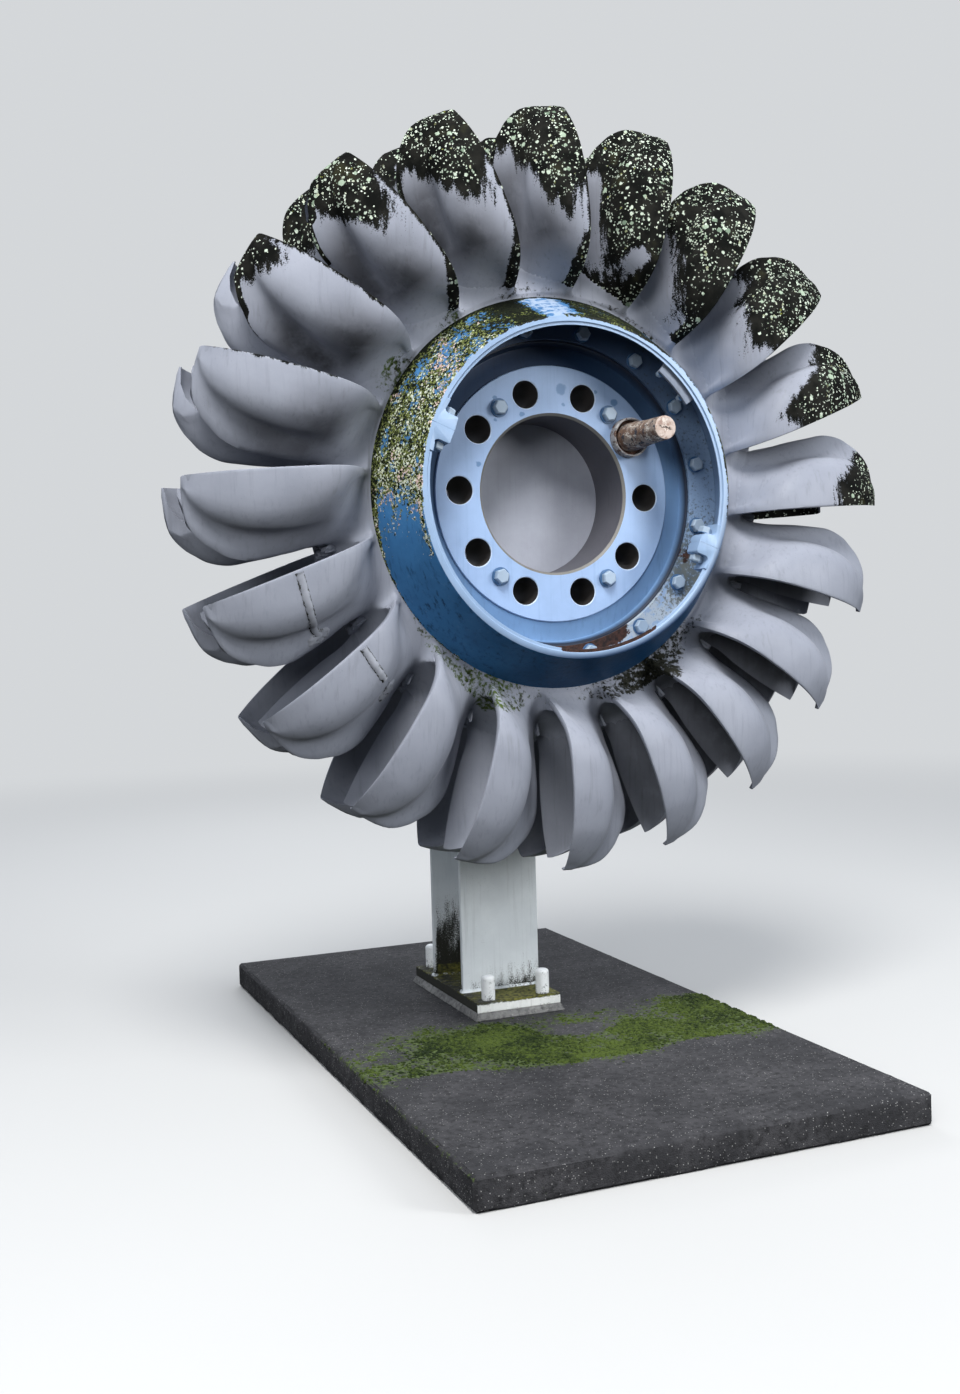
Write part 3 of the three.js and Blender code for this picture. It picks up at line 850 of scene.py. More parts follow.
# %% [markdown]
# ## The runner disc and its cast fillets
#
# Between the buckets the casting flows in soft hollows. A bevel can't do that over so many crossing
# surfaces, and a remesh would blunt the rims. So the disc is made as a fine grid, and each of its points
# is lifted to where a smooth union of disc and buckets would lie. The distance to the buckets is found
# with two trees, for every second bucket, so that the hollow between neighbours is blended too.

# %% Distance to the nearest buckets
BLEND, SEARCH_REACH = 0.055, 0.25


def bucket_tree(numbers):
    points, faces = [], []
    for number in numbers:
        faces += [[i + len(points) for i in face] for face in BUCKET_FACES]
        points += bucket_world(number).tolist()
    shell = bmesh.new()
    for point in points:
        shell.verts.new(point)
    shell.verts.ensure_lookup_table()
    for face in faces:
        shell.faces.new([shell.verts[i] for i in face])
    bmesh.ops.recalc_face_normals(shell, faces=shell.faces)
    tree = BVHTree.FromBMesh(shell)
    shell.free()
    return tree


TREES = [bucket_tree(range(first, BUCKETS + 1, 2)) for first in (1, 2)]


def soft_minimum(a, b, size):
    overlap = max(size - abs(a - b), 0.0) / size
    return min(a, b) - overlap * overlap * size / 4


def distance_to(tree, point):
    """Distance to a closed shell, negative inside it."""
    near, normal, _, distance = tree.find_nearest(point, SEARCH_REACH)
    if near is None:
        return SEARCH_REACH
    return distance if (point - near).dot(normal) >= 0 else -distance


def lift(point, normal, limit):
    """How far a point of the disc rises to meet the smooth union."""
    previous, steps = None, 9
    for step in range(steps + 1):
        rise = limit * step / steps
        probe = point + normal * rise
        buckets_at = soft_minimum(distance_to(TREES[0], probe), distance_to(TREES[1], probe), BLEND * 0.8)
        value = soft_minimum(rise, buckets_at, BLEND)
        if step == 0 and buckets_at > BLEND:
            return 0.0
        if value >= 0:
            if previous is None:
                return 0.0
            return rise - limit / steps * value / (value - previous)
        previous = value
    return limit


print("from the disc's edge to a bucket:", round(distance_to(TREES[0], Vector((0, MID_PLANE, 0.70))), 3))

# %% [markdown]
# The disc repeats with every bucket, so the lift is found for one sector only and used for all twenty.

# %% Make the runner disc
def inner_ring_finish():
    """Blue paint that is bright below and, as painted shade, almost black above, where no light gets in; a painted
    shadow fills the gap at the ring's foot.
    """
    material, tree = start_material("inner_ring_paint")
    old = aged_paint(tree, (0.15, 0.27, 0.46), (0.03, 0.05, 0.09), 0.4, 0.25, 0.3)
    # Painted shade: the paint is made near black where the mesh asks.
    dark = mix(1.0, old["Colour"], (0.06, 0.10, 0.15), "MULTIPLY")
    colour = mix(attribute(tree, "deep"), old["Colour"], dark)
    # Painted shadow: near black in the narrow gap beside the cover ring's foot.
    colour = mix(attribute(tree, "step"), colour, (0.008, 0.014, 0.030))
    end_material(tree, colour, 0.45, old["Height"])
    return material


# How dark the painted shade inside the ring is, by angle around the wheel.
DEEP_ANGLES = (0, 20, 45, 75, 110, 140, 165, 190, 230, 360)
DEEP_SHADE = (.15, .4, .85, 1, 1, .95, .8, .35, 0, .15)
INNER_BLUE = inner_ring_finish()
DISC_HALF, DISC_FACE, DISC_RIM = 0.137, 0.780, 0.940
SECTOR_COLUMNS, SHOULDER_STEPS = 45, 76


def disc_profile():
    """Closed outline of the disc in radius and depth, and the range of its points that may be lifted."""
    front, back = MID_PLANE - DISC_HALF, MID_PLANE + DISC_HALF
    bore = [(0.5093, 0.1), (0.5093, 0.010), (0.5105, 0.0085), (0.545, 0.017), (0.580, 0.026), (0.586, 0.026)]
    bore += [(0.596, front + 0.004), (0.600, front), (0.66, front)]
    lifted = [(radius, front) for radius in np.linspace(0.717, 0.7725, 9)]
    for turn in np.linspace(0, math.pi, SHOULDER_STEPS):
        radius = DISC_FACE + (DISC_RIM - DISC_FACE) * math.sin(turn) ** 1.7
        lifted.append((radius, MID_PLANE - DISC_HALF * math.cos(turn)))
    lifted += [(radius, back) for radius in np.linspace(0.7725, 0.717, 9)]
    rear = [(0.62, back), (0.5113, back), (0.5093, back - 0.002)]
    return np.array(bore + lifted + rear), range(len(bore), len(bore) + len(lifted))


def sector_lift(outline, normals, angles, lifted):
    """How far the points of one sector rise, column by column; the front face itself stays flat."""
    rise = np.zeros((len(angles), len(outline)))
    for c, angle in enumerate(angles):
        across = math.cos(angle), math.sin(angle)
        for i in lifted:
            (radius, depth), (out, along) = outline[i], normals[i]
            place = Vector((radius * across[0], depth, radius * across[1]))
            normal = Vector((out * across[0], along, out * across[1]))
            free = 1.0 if depth > MID_PLANE else min(max((radius - 0.776) / 0.012, 0.0), 1.0)
            rise[c, i] = lift(place, normal, BLEND) * free
    return rise


def make_disc():
    outline, lifted = disc_profile()
    step = np.roll(outline, -1, axis=0) - np.roll(outline, 1, axis=0)
    normals = np.stack([step[:, 1], -step[:, 0]], axis=1)
    normals /= np.linalg.norm(normals, axis=1)[:, None]
    columns = SECTOR_COLUMNS * BUCKETS
    angles = np.radians(bucket_angle(1) + 360 * np.arange(columns) / columns)
    rise = np.tile(sector_lift(outline, normals, angles[:SECTOR_COLUMNS], lifted), (BUCKETS, 1))
    radii = outline[None, :, 0] + rise * normals[None, :, 0]
    points = np.empty((columns, len(outline), 3))
    points[:, :, 0] = np.cos(angles)[:, None] * radii
    points[:, :, 1] = outline[None, :, 1] + rise * normals[None, :, 1]
    points[:, :, 2] = np.sin(angles)[:, None] * radii
    points = points.reshape(-1, 3)
    mesh = bpy.data.meshes.new("runner_disc_cast")
    mesh.from_pydata(points.tolist(), [], loop_faces(columns, len(outline), joined=True))
    amount, green = moss_on_wheel(points)
    radius, angle = around_axle(points)
    # Painted shade by angle, and a painted shadow in the gap at 0.594 m, are stored with the moss.
    set_values(
        mesh, crust=np.full(len(points), NO_CRUST), moss=amount * (radius > 0.7), green=green,
        deep=np.interp(angle, DEEP_ANGLES, DEEP_SHADE), step=(np.abs(radius - 0.594) < 0.007).astype(float))
    paints = [RUNNER_PAINT, INNER_BLUE]
    piece = finish_mesh("runner_disc_cast", mesh, paints, "wheel", ["runner_disc"])
    for polygon in mesh.polygons:
        centre = polygon.center - WHEEL_PLACE
        polygon.material_index = int(math.hypot(centre.x, centre.z) < 0.66 and centre.y < 0.12)
    return piece


runner_disc = make_disc()
print("triangles in the disc:", triangles(runner_disc.data))

# %% [markdown]
# ## The blue fittings
#
# The coupling flange carried the shaft. It is a machined ring with ten bolt holes. A face with round
# holes in it is filled from its loops of edges, so that no boolean cut is needed and every hole can have
# its own eased edge.

# %% Finishes of the blue fittings
FLANGE_HOLES, HOLE_CIRCLE, HOLE_RADIUS, FIRST_HOLE = 10, 0.407, 0.055, -1.54
BLOTS = (  # x and z of dark blue stains on the face, and their sizes
    (0.041, 2.758, 0.023), (0.278, 2.711, 0.015), (-0.132, 2.653, 0.010), (-0.246, 2.712, 0.009),
    (-0.249, 2.626, 0.005), (0.048, 2.699, 0.009), (-0.326, 2.454, 0.011), (0.193, 2.752, 0.007),
)


def hole_distance(tree):
    """Distance from the edge of the nearest bolt hole, worked out from the place on the wheel."""
    place = add(tree, "ShaderNodeSeparateXYZ", {0: on_object(tree)})
    x, z = place[0], place[2] - AXLE_Z
    radius = maths("SQRT", x * x + z * z)
    pitch = 2 * math.pi / FLANGE_HOLES
    angle = maths("ARCTAN2", z, x) - math.radians(FIRST_HOLE - 180 / FLANGE_HOLES)
    local = maths("FLOORED_MODULO", angle, pitch) - pitch / 2
    sideways = maths("SINE", local) * radius
    outwards = maths("COSINE", local) * radius - HOLE_CIRCLE
    return maths("SQRT", sideways * sideways + outwards * outwards) - HOLE_RADIUS


def pale_flange_finish():
    """Pale blue paint with dark stains, worn down to a light edge around each bolt hole."""
    material, tree = start_material("pale_flange_paint")
    old = aged_paint(tree, (0.27, 0.385, 0.585), (0.07, 0.15, 0.29), 0.45, 0.18, 0.30)
    place = on_object(tree)
    uneven = grain(tree, 45.0, 3.0) * 0.020 - 0.010
    stain = 0.0
    for x, z, size in BLOTS:
        points = {0: place, 1: (x, COUPLING_Y, z)}
        away = add(tree, "ShaderNodeVectorMath", points, operation="DISTANCE")["Value"]
        stain = maths("MAXIMUM", ramp(away + uneven, size * 1.15, size * 0.7), stain)
    layers = (old["Colour"], 0.45, old["Height"])
    layers = lay(layers, stain * 0.75, (0.06, 0.16, 0.32), 0.4, 0.4)
    edge = grain(tree, 60.0, 4.0) * 0.005 + hole_distance(tree)
    layers = lay(layers, ramp(edge, 0.0062, 0.0045), (0.50, 0.60, 0.74), 0.35, 0.7)
    end_material(tree, *layers, strength=0.15)
    return material


FLANGE_PAINT = pale_flange_finish()
print("flange finish:", FLANGE_PAINT.name)

# %% The coupling flange with its bolt holes
FLANGE_RADIUS, BORE_RADIUS, FLANGE_DEPTH, FLANGE_EDGE, LIP = 0.509, 0.312, 0.262, 0.003, 0.010


def circle(shell, radius, depth, sides, centre=(0, 0)):
    points = []
    for i in range(sides):
        angle = 2 * math.pi * i / sides
        place = (centre[0] + radius * math.cos(angle), depth, centre[1] + radius * math.sin(angle))
        points.append(shell.verts.new(place))
    return points


def wall(shell, loops):
    """Joins circles with the same number of points into a wall."""
    for one, two in zip(loops, loops[1:]):
        for i in range(len(one)):
            j = (i + 1) % len(one)
            shell.faces.new((one[i], one[j], two[j], two[i]))


def drilled_ring(name, inner, outer, depth, holes, eased):
    """A flat ring with round holes through it, given as (x, z, radius), every edge eased."""
    shell = bmesh.new()
    fronts, backs = [], []
    rings = [(0, 0, outer, -1, 180, eased), (0, 0, inner, 1, 160, LIP)]
    rings += [(x, z, radius, 1, 48, eased) for x, z, radius in holes]
    for x, z, radius, side, sides, front in rings:
        profile = ((side * front, 0), (0, front), (0, depth - eased), (side * eased, depth))
        loops = [circle(shell, radius + more, y, sides, (x, z)) for more, y in profile]
        wall(shell, loops)
        fronts.append(loops[0])
        backs.append(loops[-1])
    for group in (fronts, backs):
        edges = [shell.edges.get((loop[i - 1], loop[i])) for loop in group for i in range(len(loop))]
        bmesh.ops.triangle_fill(shell, use_beauty=True, edges=edges)
    bmesh.ops.recalc_face_normals(shell, faces=shell.faces)
    mesh = bpy.data.meshes.new(name)
    shell.to_mesh(mesh)
    shell.free()
    return mesh


hole_places = [polar(HOLE_CIRCLE, FIRST_HOLE + 360 / FLANGE_HOLES * i, 0) for i in range(FLANGE_HOLES)]
hole_circles = [(place.x, place.z, HOLE_RADIUS) for place in hole_places]
flange_mesh = drilled_ring(
    "coupling_flange_drilled", BORE_RADIUS, FLANGE_RADIUS, FLANGE_DEPTH, hole_circles, FLANGE_EDGE)
BORE_PAINT = painted("bore_paint", (0.085, 0.085, 0.10), (0.03, 0.03, 0.03), 0.5, 0.25, 0.3, 0.55)
LIP_STEEL = painted("bore_lip_steel", (0.17, 0.165, 0.15), (0.04, 0.03, 0.025), 0.6, 0.2, 0.6, 0.45)
FLOOR_PAINT = painted("bore_floor_paint", (0.33, 0.345, 0.40), (0.10, 0.10, 0.11), 0.5, 0.12, 0.5, 0.55)
# Painted shade: the walls of the deep bolt holes are made near black.
HOLE_SHADE = painted("hole_shade", (0.030, 0.026, 0.024), (0.01, 0.008, 0.006), 0.6, 0.3, 0.3, 0.6)
flange = finish_mesh(
    "coupling_flange_drilled", flange_mesh, [FLANGE_PAINT, BORE_PAINT, HOLE_SHADE, LIP_STEEL], "wheel",
    ["coupling_flange"], sharp=30)
# The bore's lip, the bore wall, and the hole walls get their own finishes; the hole walls carry the near-black
# painted shade.
for polygon in flange_mesh.polygons:
    centre = polygon.center - WHEEL_PLACE
    radius = math.hypot(centre.x, centre.z)
    if radius < BORE_RADIUS + LIP and 0.001 < centre.y < LIP:
        polygon.material_index = 3
    elif 0.0035 < centre.y < FLANGE_DEPTH - 0.004 and radius < 0.48:
        polygon.material_index = 1 if radius < BORE_RADIUS + 0.003 else 2
print("triangles in the flange:", triangles(flange.data))

# %% [markdown]
# The hub closes the bore from behind and turns on the stub axle. Both are plain turned parts, so the lathe
# makes them from the same outlines as the solids, with their edges eased.

# %% The rear hub and the stub axle
AXLE_STEEL = painted("axle_steel", (0.16, 0.15, 0.14), (0.05, 0.03, 0.02), 0.6, 0.4, 0.4, 0.38)
hub_outline = rounded([
    (0, 0.247), (0.3117, 0.247), (0.3117, 0.2623), (0.345, 0.2623), (0.345, 0.300, 0.003),
    (0.200, 0.300, 0.008), (0.200, 0.560, 0.004), (0.1205, 0.560, 0.002), (0.1205, 0.285), (0, 0.285),
])
axle_outline = rounded([
    (0, 0.290), (0.120, 0.290, 0.004), (0.120, 0.640, 0.006), (0.180, 0.640, 0.004), (0.180, 0.6837),
    (0, 0.6837),
])
hub_mesh, axle_mesh = lathe("hub", hub_outline, 120), lathe("axle", axle_outline, 72)
finish_mesh("rear_hub_turned", hub_mesh, FLOOR_PAINT, "wheel", ["rear_hub"], 30)
finish_mesh("stub_axle_turned", axle_mesh, AXLE_STEEL, "stand", ["stub_axle"], 30)
print("hub and axle made")

# %% [markdown]
# ### The lichen mat
#
# On the left and the top of the cover ring, rain and shade have grown a thick mat: olive and yellow-green
# lichen with pale and pink rosettes, black algae between them, and blue paint where it has flaked off. The
# effect mixes those colours by small cells and by broad noise. How dense and how dark the mat is comes from
# the mesh again.

# %% Build the lichen mat
mat, given = node_group(
    "ShaderNodeTree", "lichen mat", {"Amount": ("Float", 0.0), "Dark": ("Float", 0.0)}, GROWTH_OUTPUTS)
fingers = grain(mat, 13.0, 4.0, 0.6, stretched(mat, (1.5, 1.5, 0.45))) * 0.4
patches = grain(mat, 62.0, 5.0, 0.7) * 0.6 + fingers
distance, lot = cells(mat, 165.0, wave_scale=130.0, wave=0.014)
black = mix(lot[1], (0.003, 0.004, 0.003), (0.012, 0.016, 0.007))
olive = mix(lot[2], (0.055, 0.070, 0.016), (0.19, 0.22, 0.07))
pale = mix(lot[2], (0.36, 0.42, 0.30), (0.66, 0.68, 0.58))
pink = mix(lot[1], (0.46, 0.31, 0.28), (0.66, 0.54, 0.50))
patchy = grain(mat, 9.0, 5.0, 0.65) * 1.1 - 0.45
light = grain(mat, 24.0, 4.0, 0.6) * 0.8 + (lot[0] * 0.8 + patchy) - given["Dark"]
colour = mix(ramp(light, 0.75, 0.81), black, olive)
rosettes = mix(ramp(grain(mat, 9.0, 3.0), 0.56, 0.60), pale, pink)
colour = mix(ramp(light, 1.03, 1.09), colour, rosettes)
add(mat, "NodeGroupOutput", {
    "Cover": ramp(patches + given["Amount"], 0.98, 1.02), "Colour": colour,
    "Height": grain(mat, 160.0, 4.0) * 0.5 + (distance * -0.9 + 1.0),
})
print("lichen mat nodes:", len(mat.nodes))

# %% [markdown]
# Two paints lie under that mat. The cone is dark blue with rain runs, and the rim and the gutter are pale.

# %% Finishes of the cover ring
def under_mat(tree, layers, **settings):
    """Lays the lichen mat over the layers and ends the material."""
    layers = overgrown(layers, mat, 0.95, Amount=attribute(tree, "mat"), Dark=attribute(tree, "dark"))
    end_material(tree, *layers, **settings)


def drum_finish():
    """Dark blue paint with rain runs, and painted shade on the cone's lower side."""
    material, tree = start_material("dark_drum_paint")
    old = aged_paint(tree, (0.046, 0.165, 0.36), (0.01, 0.02, 0.04), 0.85, 0.0, 0.3)
    runs = ramp(grain(tree, 30.0, 5.0, 0.65, stretched(tree, (1.6, 1.6, 0.10))), 0.50, 0.72)
    runs = runs * (ramp(grain(tree, 5.0, 3.0), 0.35, 0.65) * 0.6 + 0.3) * attribute(tree, "streaky")
    colour = mix(runs, old["Colour"], (0.010, 0.030, 0.065))
    worn = ramp(grain(tree, 40.0, 6.0, 0.7), 0.58, 0.74) * 0.30
    colour = mix(worn, colour, (0.13, 0.25, 0.42))
    # Painted shade: the paint is darkened where the mesh asks, on the lower side of the cone.
    colour = mix(attribute(tree, "deep"), colour, mix(1.0, colour, (0.22, 0.30, 0.34), "MULTIPLY"))
    bare = ramp(grain(tree, 34.0, 5.0, 0.65) + attribute(tree, "bare"), 1.0, 1.12)
    colour = mix(bare, colour, (0.30, 0.38, 0.50))
    under_mat(tree, (colour, 0.42, old["Height"]), strength=0.5, specular=0.1)
    return material


def ring_finish():
    """Pale worn blue for the rim and the gutter, with painted shade inside the top, soot mixed with painted shade
    on the gutter floor, and rust.
    """
    material, tree = start_material("pale_ring_paint")
    old = aged_paint(tree, (0.255, 0.365, 0.53), (0.06, 0.08, 0.10), 0.45, 0.12, 0.25)
    # Painted shade: near black inside the top of the ring, where the mesh asks.
    dark = mix(1.0, old["Colour"], (0.035, 0.085, 0.16), "MULTIPLY")
    colour = mix(attribute(tree, "deep"), old["Colour"], dark)
    chalky = ramp(grain(tree, 35.0, 5.0, 0.7) + attribute(tree, "chalk"), 1.0, 1.15) * 0.6
    layers = (mix(chalky, colour, (0.46, 0.48, 0.46)), 0.4, old["Height"])
    # Soot mixed with painted shade, darkest on the gutter floor below the right-hand lug.
    grime = ramp(grain(tree, 70.0, 5.0, 0.7) + attribute(tree, "grime"), 1.02, 1.2) * 0.8
    layers = lay(layers, grime, (0.045, 0.05, 0.035), 0.8, 0.6)
    eaten = ramp(grain(tree, 26.0, 6.0, 0.7) + attribute(tree, "rust"), 0.98, 1.06)
    brown = mix(ramp(grain(tree, 60.0, 4.0), 0.35, 0.65), (0.011, 0.005, 0.004), (0.050, 0.018, 0.011))
    layers = lay(layers, eaten, brown, 0.9, grain(tree, 160.0, 4.0, 0.7))
    under_mat(tree, layers)
    return material


DRUM_PAINT, RING_PAINT = drum_finish(), ring_finish()
print("finishes of the cover ring:", DRUM_PAINT.name, RING_PAINT.name)

# %% [markdown]
# ## The conical cover ring
#
# This sheet steel cone was bolted around the coupling in two halves. Each half is swept between the two
# joints. Its outer face gets many rows, because the growth on it is stored on its points.

# %% Growth and wear of the cover ring, by the angle around the wheel
FOOT_Y, RIM_Y, CONE_FOOT, CONE_RIM = -0.0123, -0.2463, 0.774, 0.654
SPLIT, SPLIT_GAP = 158.5, 0.002
MAT_BY_ANGLE = np.array([  # angle, how dense the mat is, and how dark
    (0, .38, .40), (14, .40, .40), (26, .33, .40), (50, .34, .40), (58, .52, .50), (66, .62, .46),
    (86, .60, .46), (91, .36, .40), (98, .30, .20), (103, .60, .50), (108, .64, .50), (114, .57, .34),
    (125, .54, .18), (150, .56, .12), (178, .57, .03), (188, .46, .0), (196, .41, -.05), (204, .34, 0),
    (214, .22, 0), (222, .28, 0), (240, .26, .10), (300, .24, .30), (345, .26, .40), (360, .38, .40),
])


def ring_values(points):
    """Growth, rust, shade and chalk for points of the cover ring and the gutter."""
    radius, angle = around_axle(points)
    depth = points[:, 1]
    cone = radius - (CONE_FOOT + (depth - FOOT_Y) / (RIM_Y - FOOT_Y) * (CONE_RIM - CONE_FOOT))
    on_cone = cone > -0.004
    along = np.clip((FOOT_Y - depth) / (FOOT_Y - RIM_Y), 0, 1)

    def by_angle(angles, amounts):
        return np.interp(angle, angles, amounts)

    mat_amount, dark = (by_angle(MAT_BY_ANGLE[:, 0], MAT_BY_ANGLE[:, k]) for k in (1, 2))
    foot_wide = by_angle((0, 20, 110, 180, 200, 235, 245, 360), (.03, .10, .10, .10, .06, .05, .001, .001))
    near_foot = np.clip(1.3 - along / foot_wide, 0, 1)
    edge_line = np.clip(1 - np.abs(along - 0.97) / 0.08, 0, 1) * ((angle < 95) | (angle > 347)) * 0.26
    left_line = np.clip(1 - np.abs(along - 0.94) / 0.07, 0, 1) * ((angle > 176) & (angle < 203)) * 0.16
    mat_amount = np.where(on_cone, mat_amount + 0.25 * near_foot + edge_line + left_line, 0.05)
    bottom = np.clip((1 - np.abs(angle - 280) / 25) * 3, 0, 1) * np.clip((0.672 - radius) / 0.02, 0, 1)
    lug = np.clip(1 - np.abs((angle + 180) % 360 - 180 + 23) / 9, 0, 1) * (radius < 0.67)
    rust = np.where(on_cone | (depth < RIM_Y + 0.004), 0.1, np.maximum(bottom * 0.74, lug * 0.66))
    # Painted shade inside the ring, by angle around the wheel.
    deep = np.where(depth < RIM_Y + 0.008, 0.0, by_angle(DEEP_ANGLES, DEEP_SHADE) * 0.9)
    # Painted shade of the cone by angle: most from the bottom round to the lower right.
    on_drum = by_angle((0, 210, 245, 270, 300, 330, 360), (.2, 0, .35, .95, 1, 1, .2))
    chalk = by_angle((0, 200, 240, 262, 300, 330, 360), (.25, .1, .2, .35, .7, .55, .3))
    # Soot mixed with painted shade on the gutter floor, by angle.
    grime = by_angle((0, 20, 60, 110, 200, 300, 330, 360), (.5, .52, .45, .3, .2, .35, .72, .5))
    return dict(
        mat=mat_amount,
        dark=dark + 0.25 * near_foot,
        bare=by_angle((84, 91, 100, 107), (0, .62, .58, 0)),
        rust=rust,
        deep=np.where(on_cone, on_drum, deep),
        chalk=chalk * (depth > -0.04),
        grime=grime * (depth > -0.06) * (radius > 0.6),
        streaky=by_angle((0, 90, 180, 215, 250, 285, 360), (.3, .2, .8, 1.0, .8, .35, .3)),
    )


print("angles that tell the mat:", len(MAT_BY_ANGLE))

# %% [markdown]
# The lugs that clamp the halves together are flush with the rim and run into it in round fillets. Each is
# a flat outline with eased corners, drawn between the joint and the ring, and given its depth afterwards.

# %% The two cover halves with their lugs
def extruded(name, outline, front, back, eased, kept):
    """A block from a closed outline of (x, z), its front edge eased inwards but for the points kept."""
    flat = np.array(outline, float)
    before, after = np.roll(flat, 1, axis=0), np.roll(flat, -1, axis=0)
    along = after - before
    inward = np.stack([-along[:, 1], along[:, 0]], axis=1)
    inward /= np.linalg.norm(inward, axis=1)[:, None]
    area = np.sum(flat[:, 0] * after[:, 1] - after[:, 0] * flat[:, 1])
    inward *= math.copysign(1, area)
    inward[kept] = 0
    layers = ((eased, front), (0.3 * eased, front + 0.3 * eased), (0, front + eased), (0, back))
    points = [(x, depth, z) for inset, depth in layers for x, z in flat + inward * inset]
    faces = loop_faces(len(layers), len(flat)) + end_faces(len(layers), len(flat))
    return mesh_from(name, points, faces)


def joined(name, meshes):
    """One mesh from several, without merging their points."""
    whole = bmesh.new()
    for each in meshes:
        whole.from_mesh(each)
    mesh = bpy.data.meshes.new(name)
    whole.to_mesh(mesh)
    whole.free()
    return mesh


LUG_FILLET, LUG_DEPTH, RIM_INSIDE = 0.016, 0.078, 0.6165


def lug_block(at, side, length, corner):
    """A lug beside the joint at an angle; side +1 lies towards growing angles."""
    outline = rounded([
        (0.650, 0.0003), (0.556, 0.0003), (0.556, length, corner), (RIM_INSIDE, length, LUG_FILLET),
        (RIM_INSIDE, length + 0.05), (0.650, length + 0.05),
    ], steps=6)
    turn = math.radians(at)
    placed = []
    for x, z in outline:
        z *= side
        if x < 0.640 and abs(z) > length + LUG_FILLET:
            x = math.sqrt(RIM_INSIDE ** 2 - z * z)
        placed.append((x * math.cos(turn) - z * math.sin(turn), x * math.sin(turn) + z * math.cos(turn)))
    at_joint = np.array([abs(z) < 0.0011 for _, z in outline])
    return extruded("lug", placed, RIM_Y + 0.0005, RIM_Y + LUG_DEPTH, 0.003, at_joint)


def cover_outline():
    """Section of the ring in radius and depth: the rim, the cone, the foot, and the gutter inside."""
    outline = [(0.618, RIM_Y + 0.008), (0.6195, RIM_Y + 0.006), (0.6290, RIM_Y + 0.006)]
    outline += [(0.6305, RIM_Y + 0.0045), (0.6310, RIM_Y + 0.0015), (0.6325, RIM_Y)]
    outline += [(0.6515, RIM_Y), (0.6545, RIM_Y + 0.001)]
    for t in np.linspace(0, 1, 25):
        outline.append((0.6565 + (0.7725 - 0.6565) * t, RIM_Y + 0.0035 + (FOOT_Y - RIM_Y - 0.005) * t))
    outline += [(CONE_FOOT, FOOT_Y), (0.606, FOOT_Y), (0.606, -0.0258), (0.6075, -0.0273)]
    outline += [(0.64, -0.0273), (0.68, -0.0273), (0.716, -0.0273), (0.724, -0.029)]
    for t in np.linspace(0.04, 0.97, 12):
        outline.append((0.728 - (0.728 - 0.618) * t, -0.0273 - (0.2403 - 0.0273) * t))
    return outline


def cover_half(name, start, end, lugs):
    gap = math.degrees(SPLIT_GAP / 2 / 0.69)
    half = lathe(name, cover_outline(), 200, start + gap, end - gap)
    mesh = joined(name, [half] + [lug_block(*lug) for lug in lugs])
    set_values(mesh, **ring_values(point_list(mesh)))
    node_name = name.replace("_sheet", "")
    piece = finish_mesh(name, mesh, [RING_PAINT, DRUM_PAINT], "wheel", [node_name], sharp=30)
    for polygon in mesh.polygons:
        centre = polygon.center - WHEEL_PLACE
        away = polygon.normal.dot(Vector((centre.x, 0, centre.z)).normalized())
        radius = math.hypot(centre.x, centre.z)
        polygon.material_index = int(away > 0.3 and radius > 0.6545 and centre.y < FOOT_Y)
    return piece


upper_lugs = ((SPLIT, -1, 0.052, 0.008), (SPLIT - 180, 1, 0.044, 0.034))
lower_lugs = ((SPLIT, 1, 0.054, 0.006), (SPLIT - 180, -1, 0.046, 0.010))
cover_upper = cover_half("cover_ring_upper_sheet", SPLIT - 180, SPLIT, upper_lugs)
cover_half("cover_ring_lower_sheet", SPLIT, SPLIT + 180, lower_lugs)
print("triangles in a cover half:", triangles(cover_upper.data))

# %% [markdown]
# ## Bolts
#
# Sixteen bolts hold the ring's foot, four sit on the flange, and the lugs and the balance strip have their
# own. A bolt that comes back so often is made once in Geometry Nodes: a six-sided head with a chamfered
# top on a round washer, set on every given point, facing along the point's own direction and turned by a
# random angle. The tree's inputs size it, so that one tree serves every row.

# %% Build the bolt tree
BOLT_SIZES = {"Head radius": 0.03, "Head height": 0.02, "Washer radius": 0.036, "Washer height": 0.005}


def geometry_group(name, source, sizes, result):
    """A Geometry Nodes group with a mesh to work on, named sizes with their defaults, and a seed."""
    inputs = {source: ("Geometry", None)} | {key: ("Float", size) for key, size in sizes.items()}
    return node_group("GeometryNodeTree", name, inputs | {"Seed": ("Int", 1)}, {result: "Geometry"})


def spun(tree, rotation, seed):
    """A rotation with a random turn about its own axis added."""
    angle = add(tree, "FunctionNodeRandomValue", {2: 0.0, 3: 6.28, "Seed": seed})[1]
    spin = add(tree, "FunctionNodeAxisAngleToRotation", {"Axis": (0, 0, 1), "Angle": angle})
    return add(tree, "FunctionNodeRotateRotation", {0: rotation, 1: spin}, rotation_space="LOCAL")


def lifted(part, height):
    """Moves a part up its axis."""
    place = add(part.tree, "ShaderNodeCombineXYZ", {2: height})
    return add(part.tree, "GeometryNodeTransform", {"Geometry": part, "Translation": place})


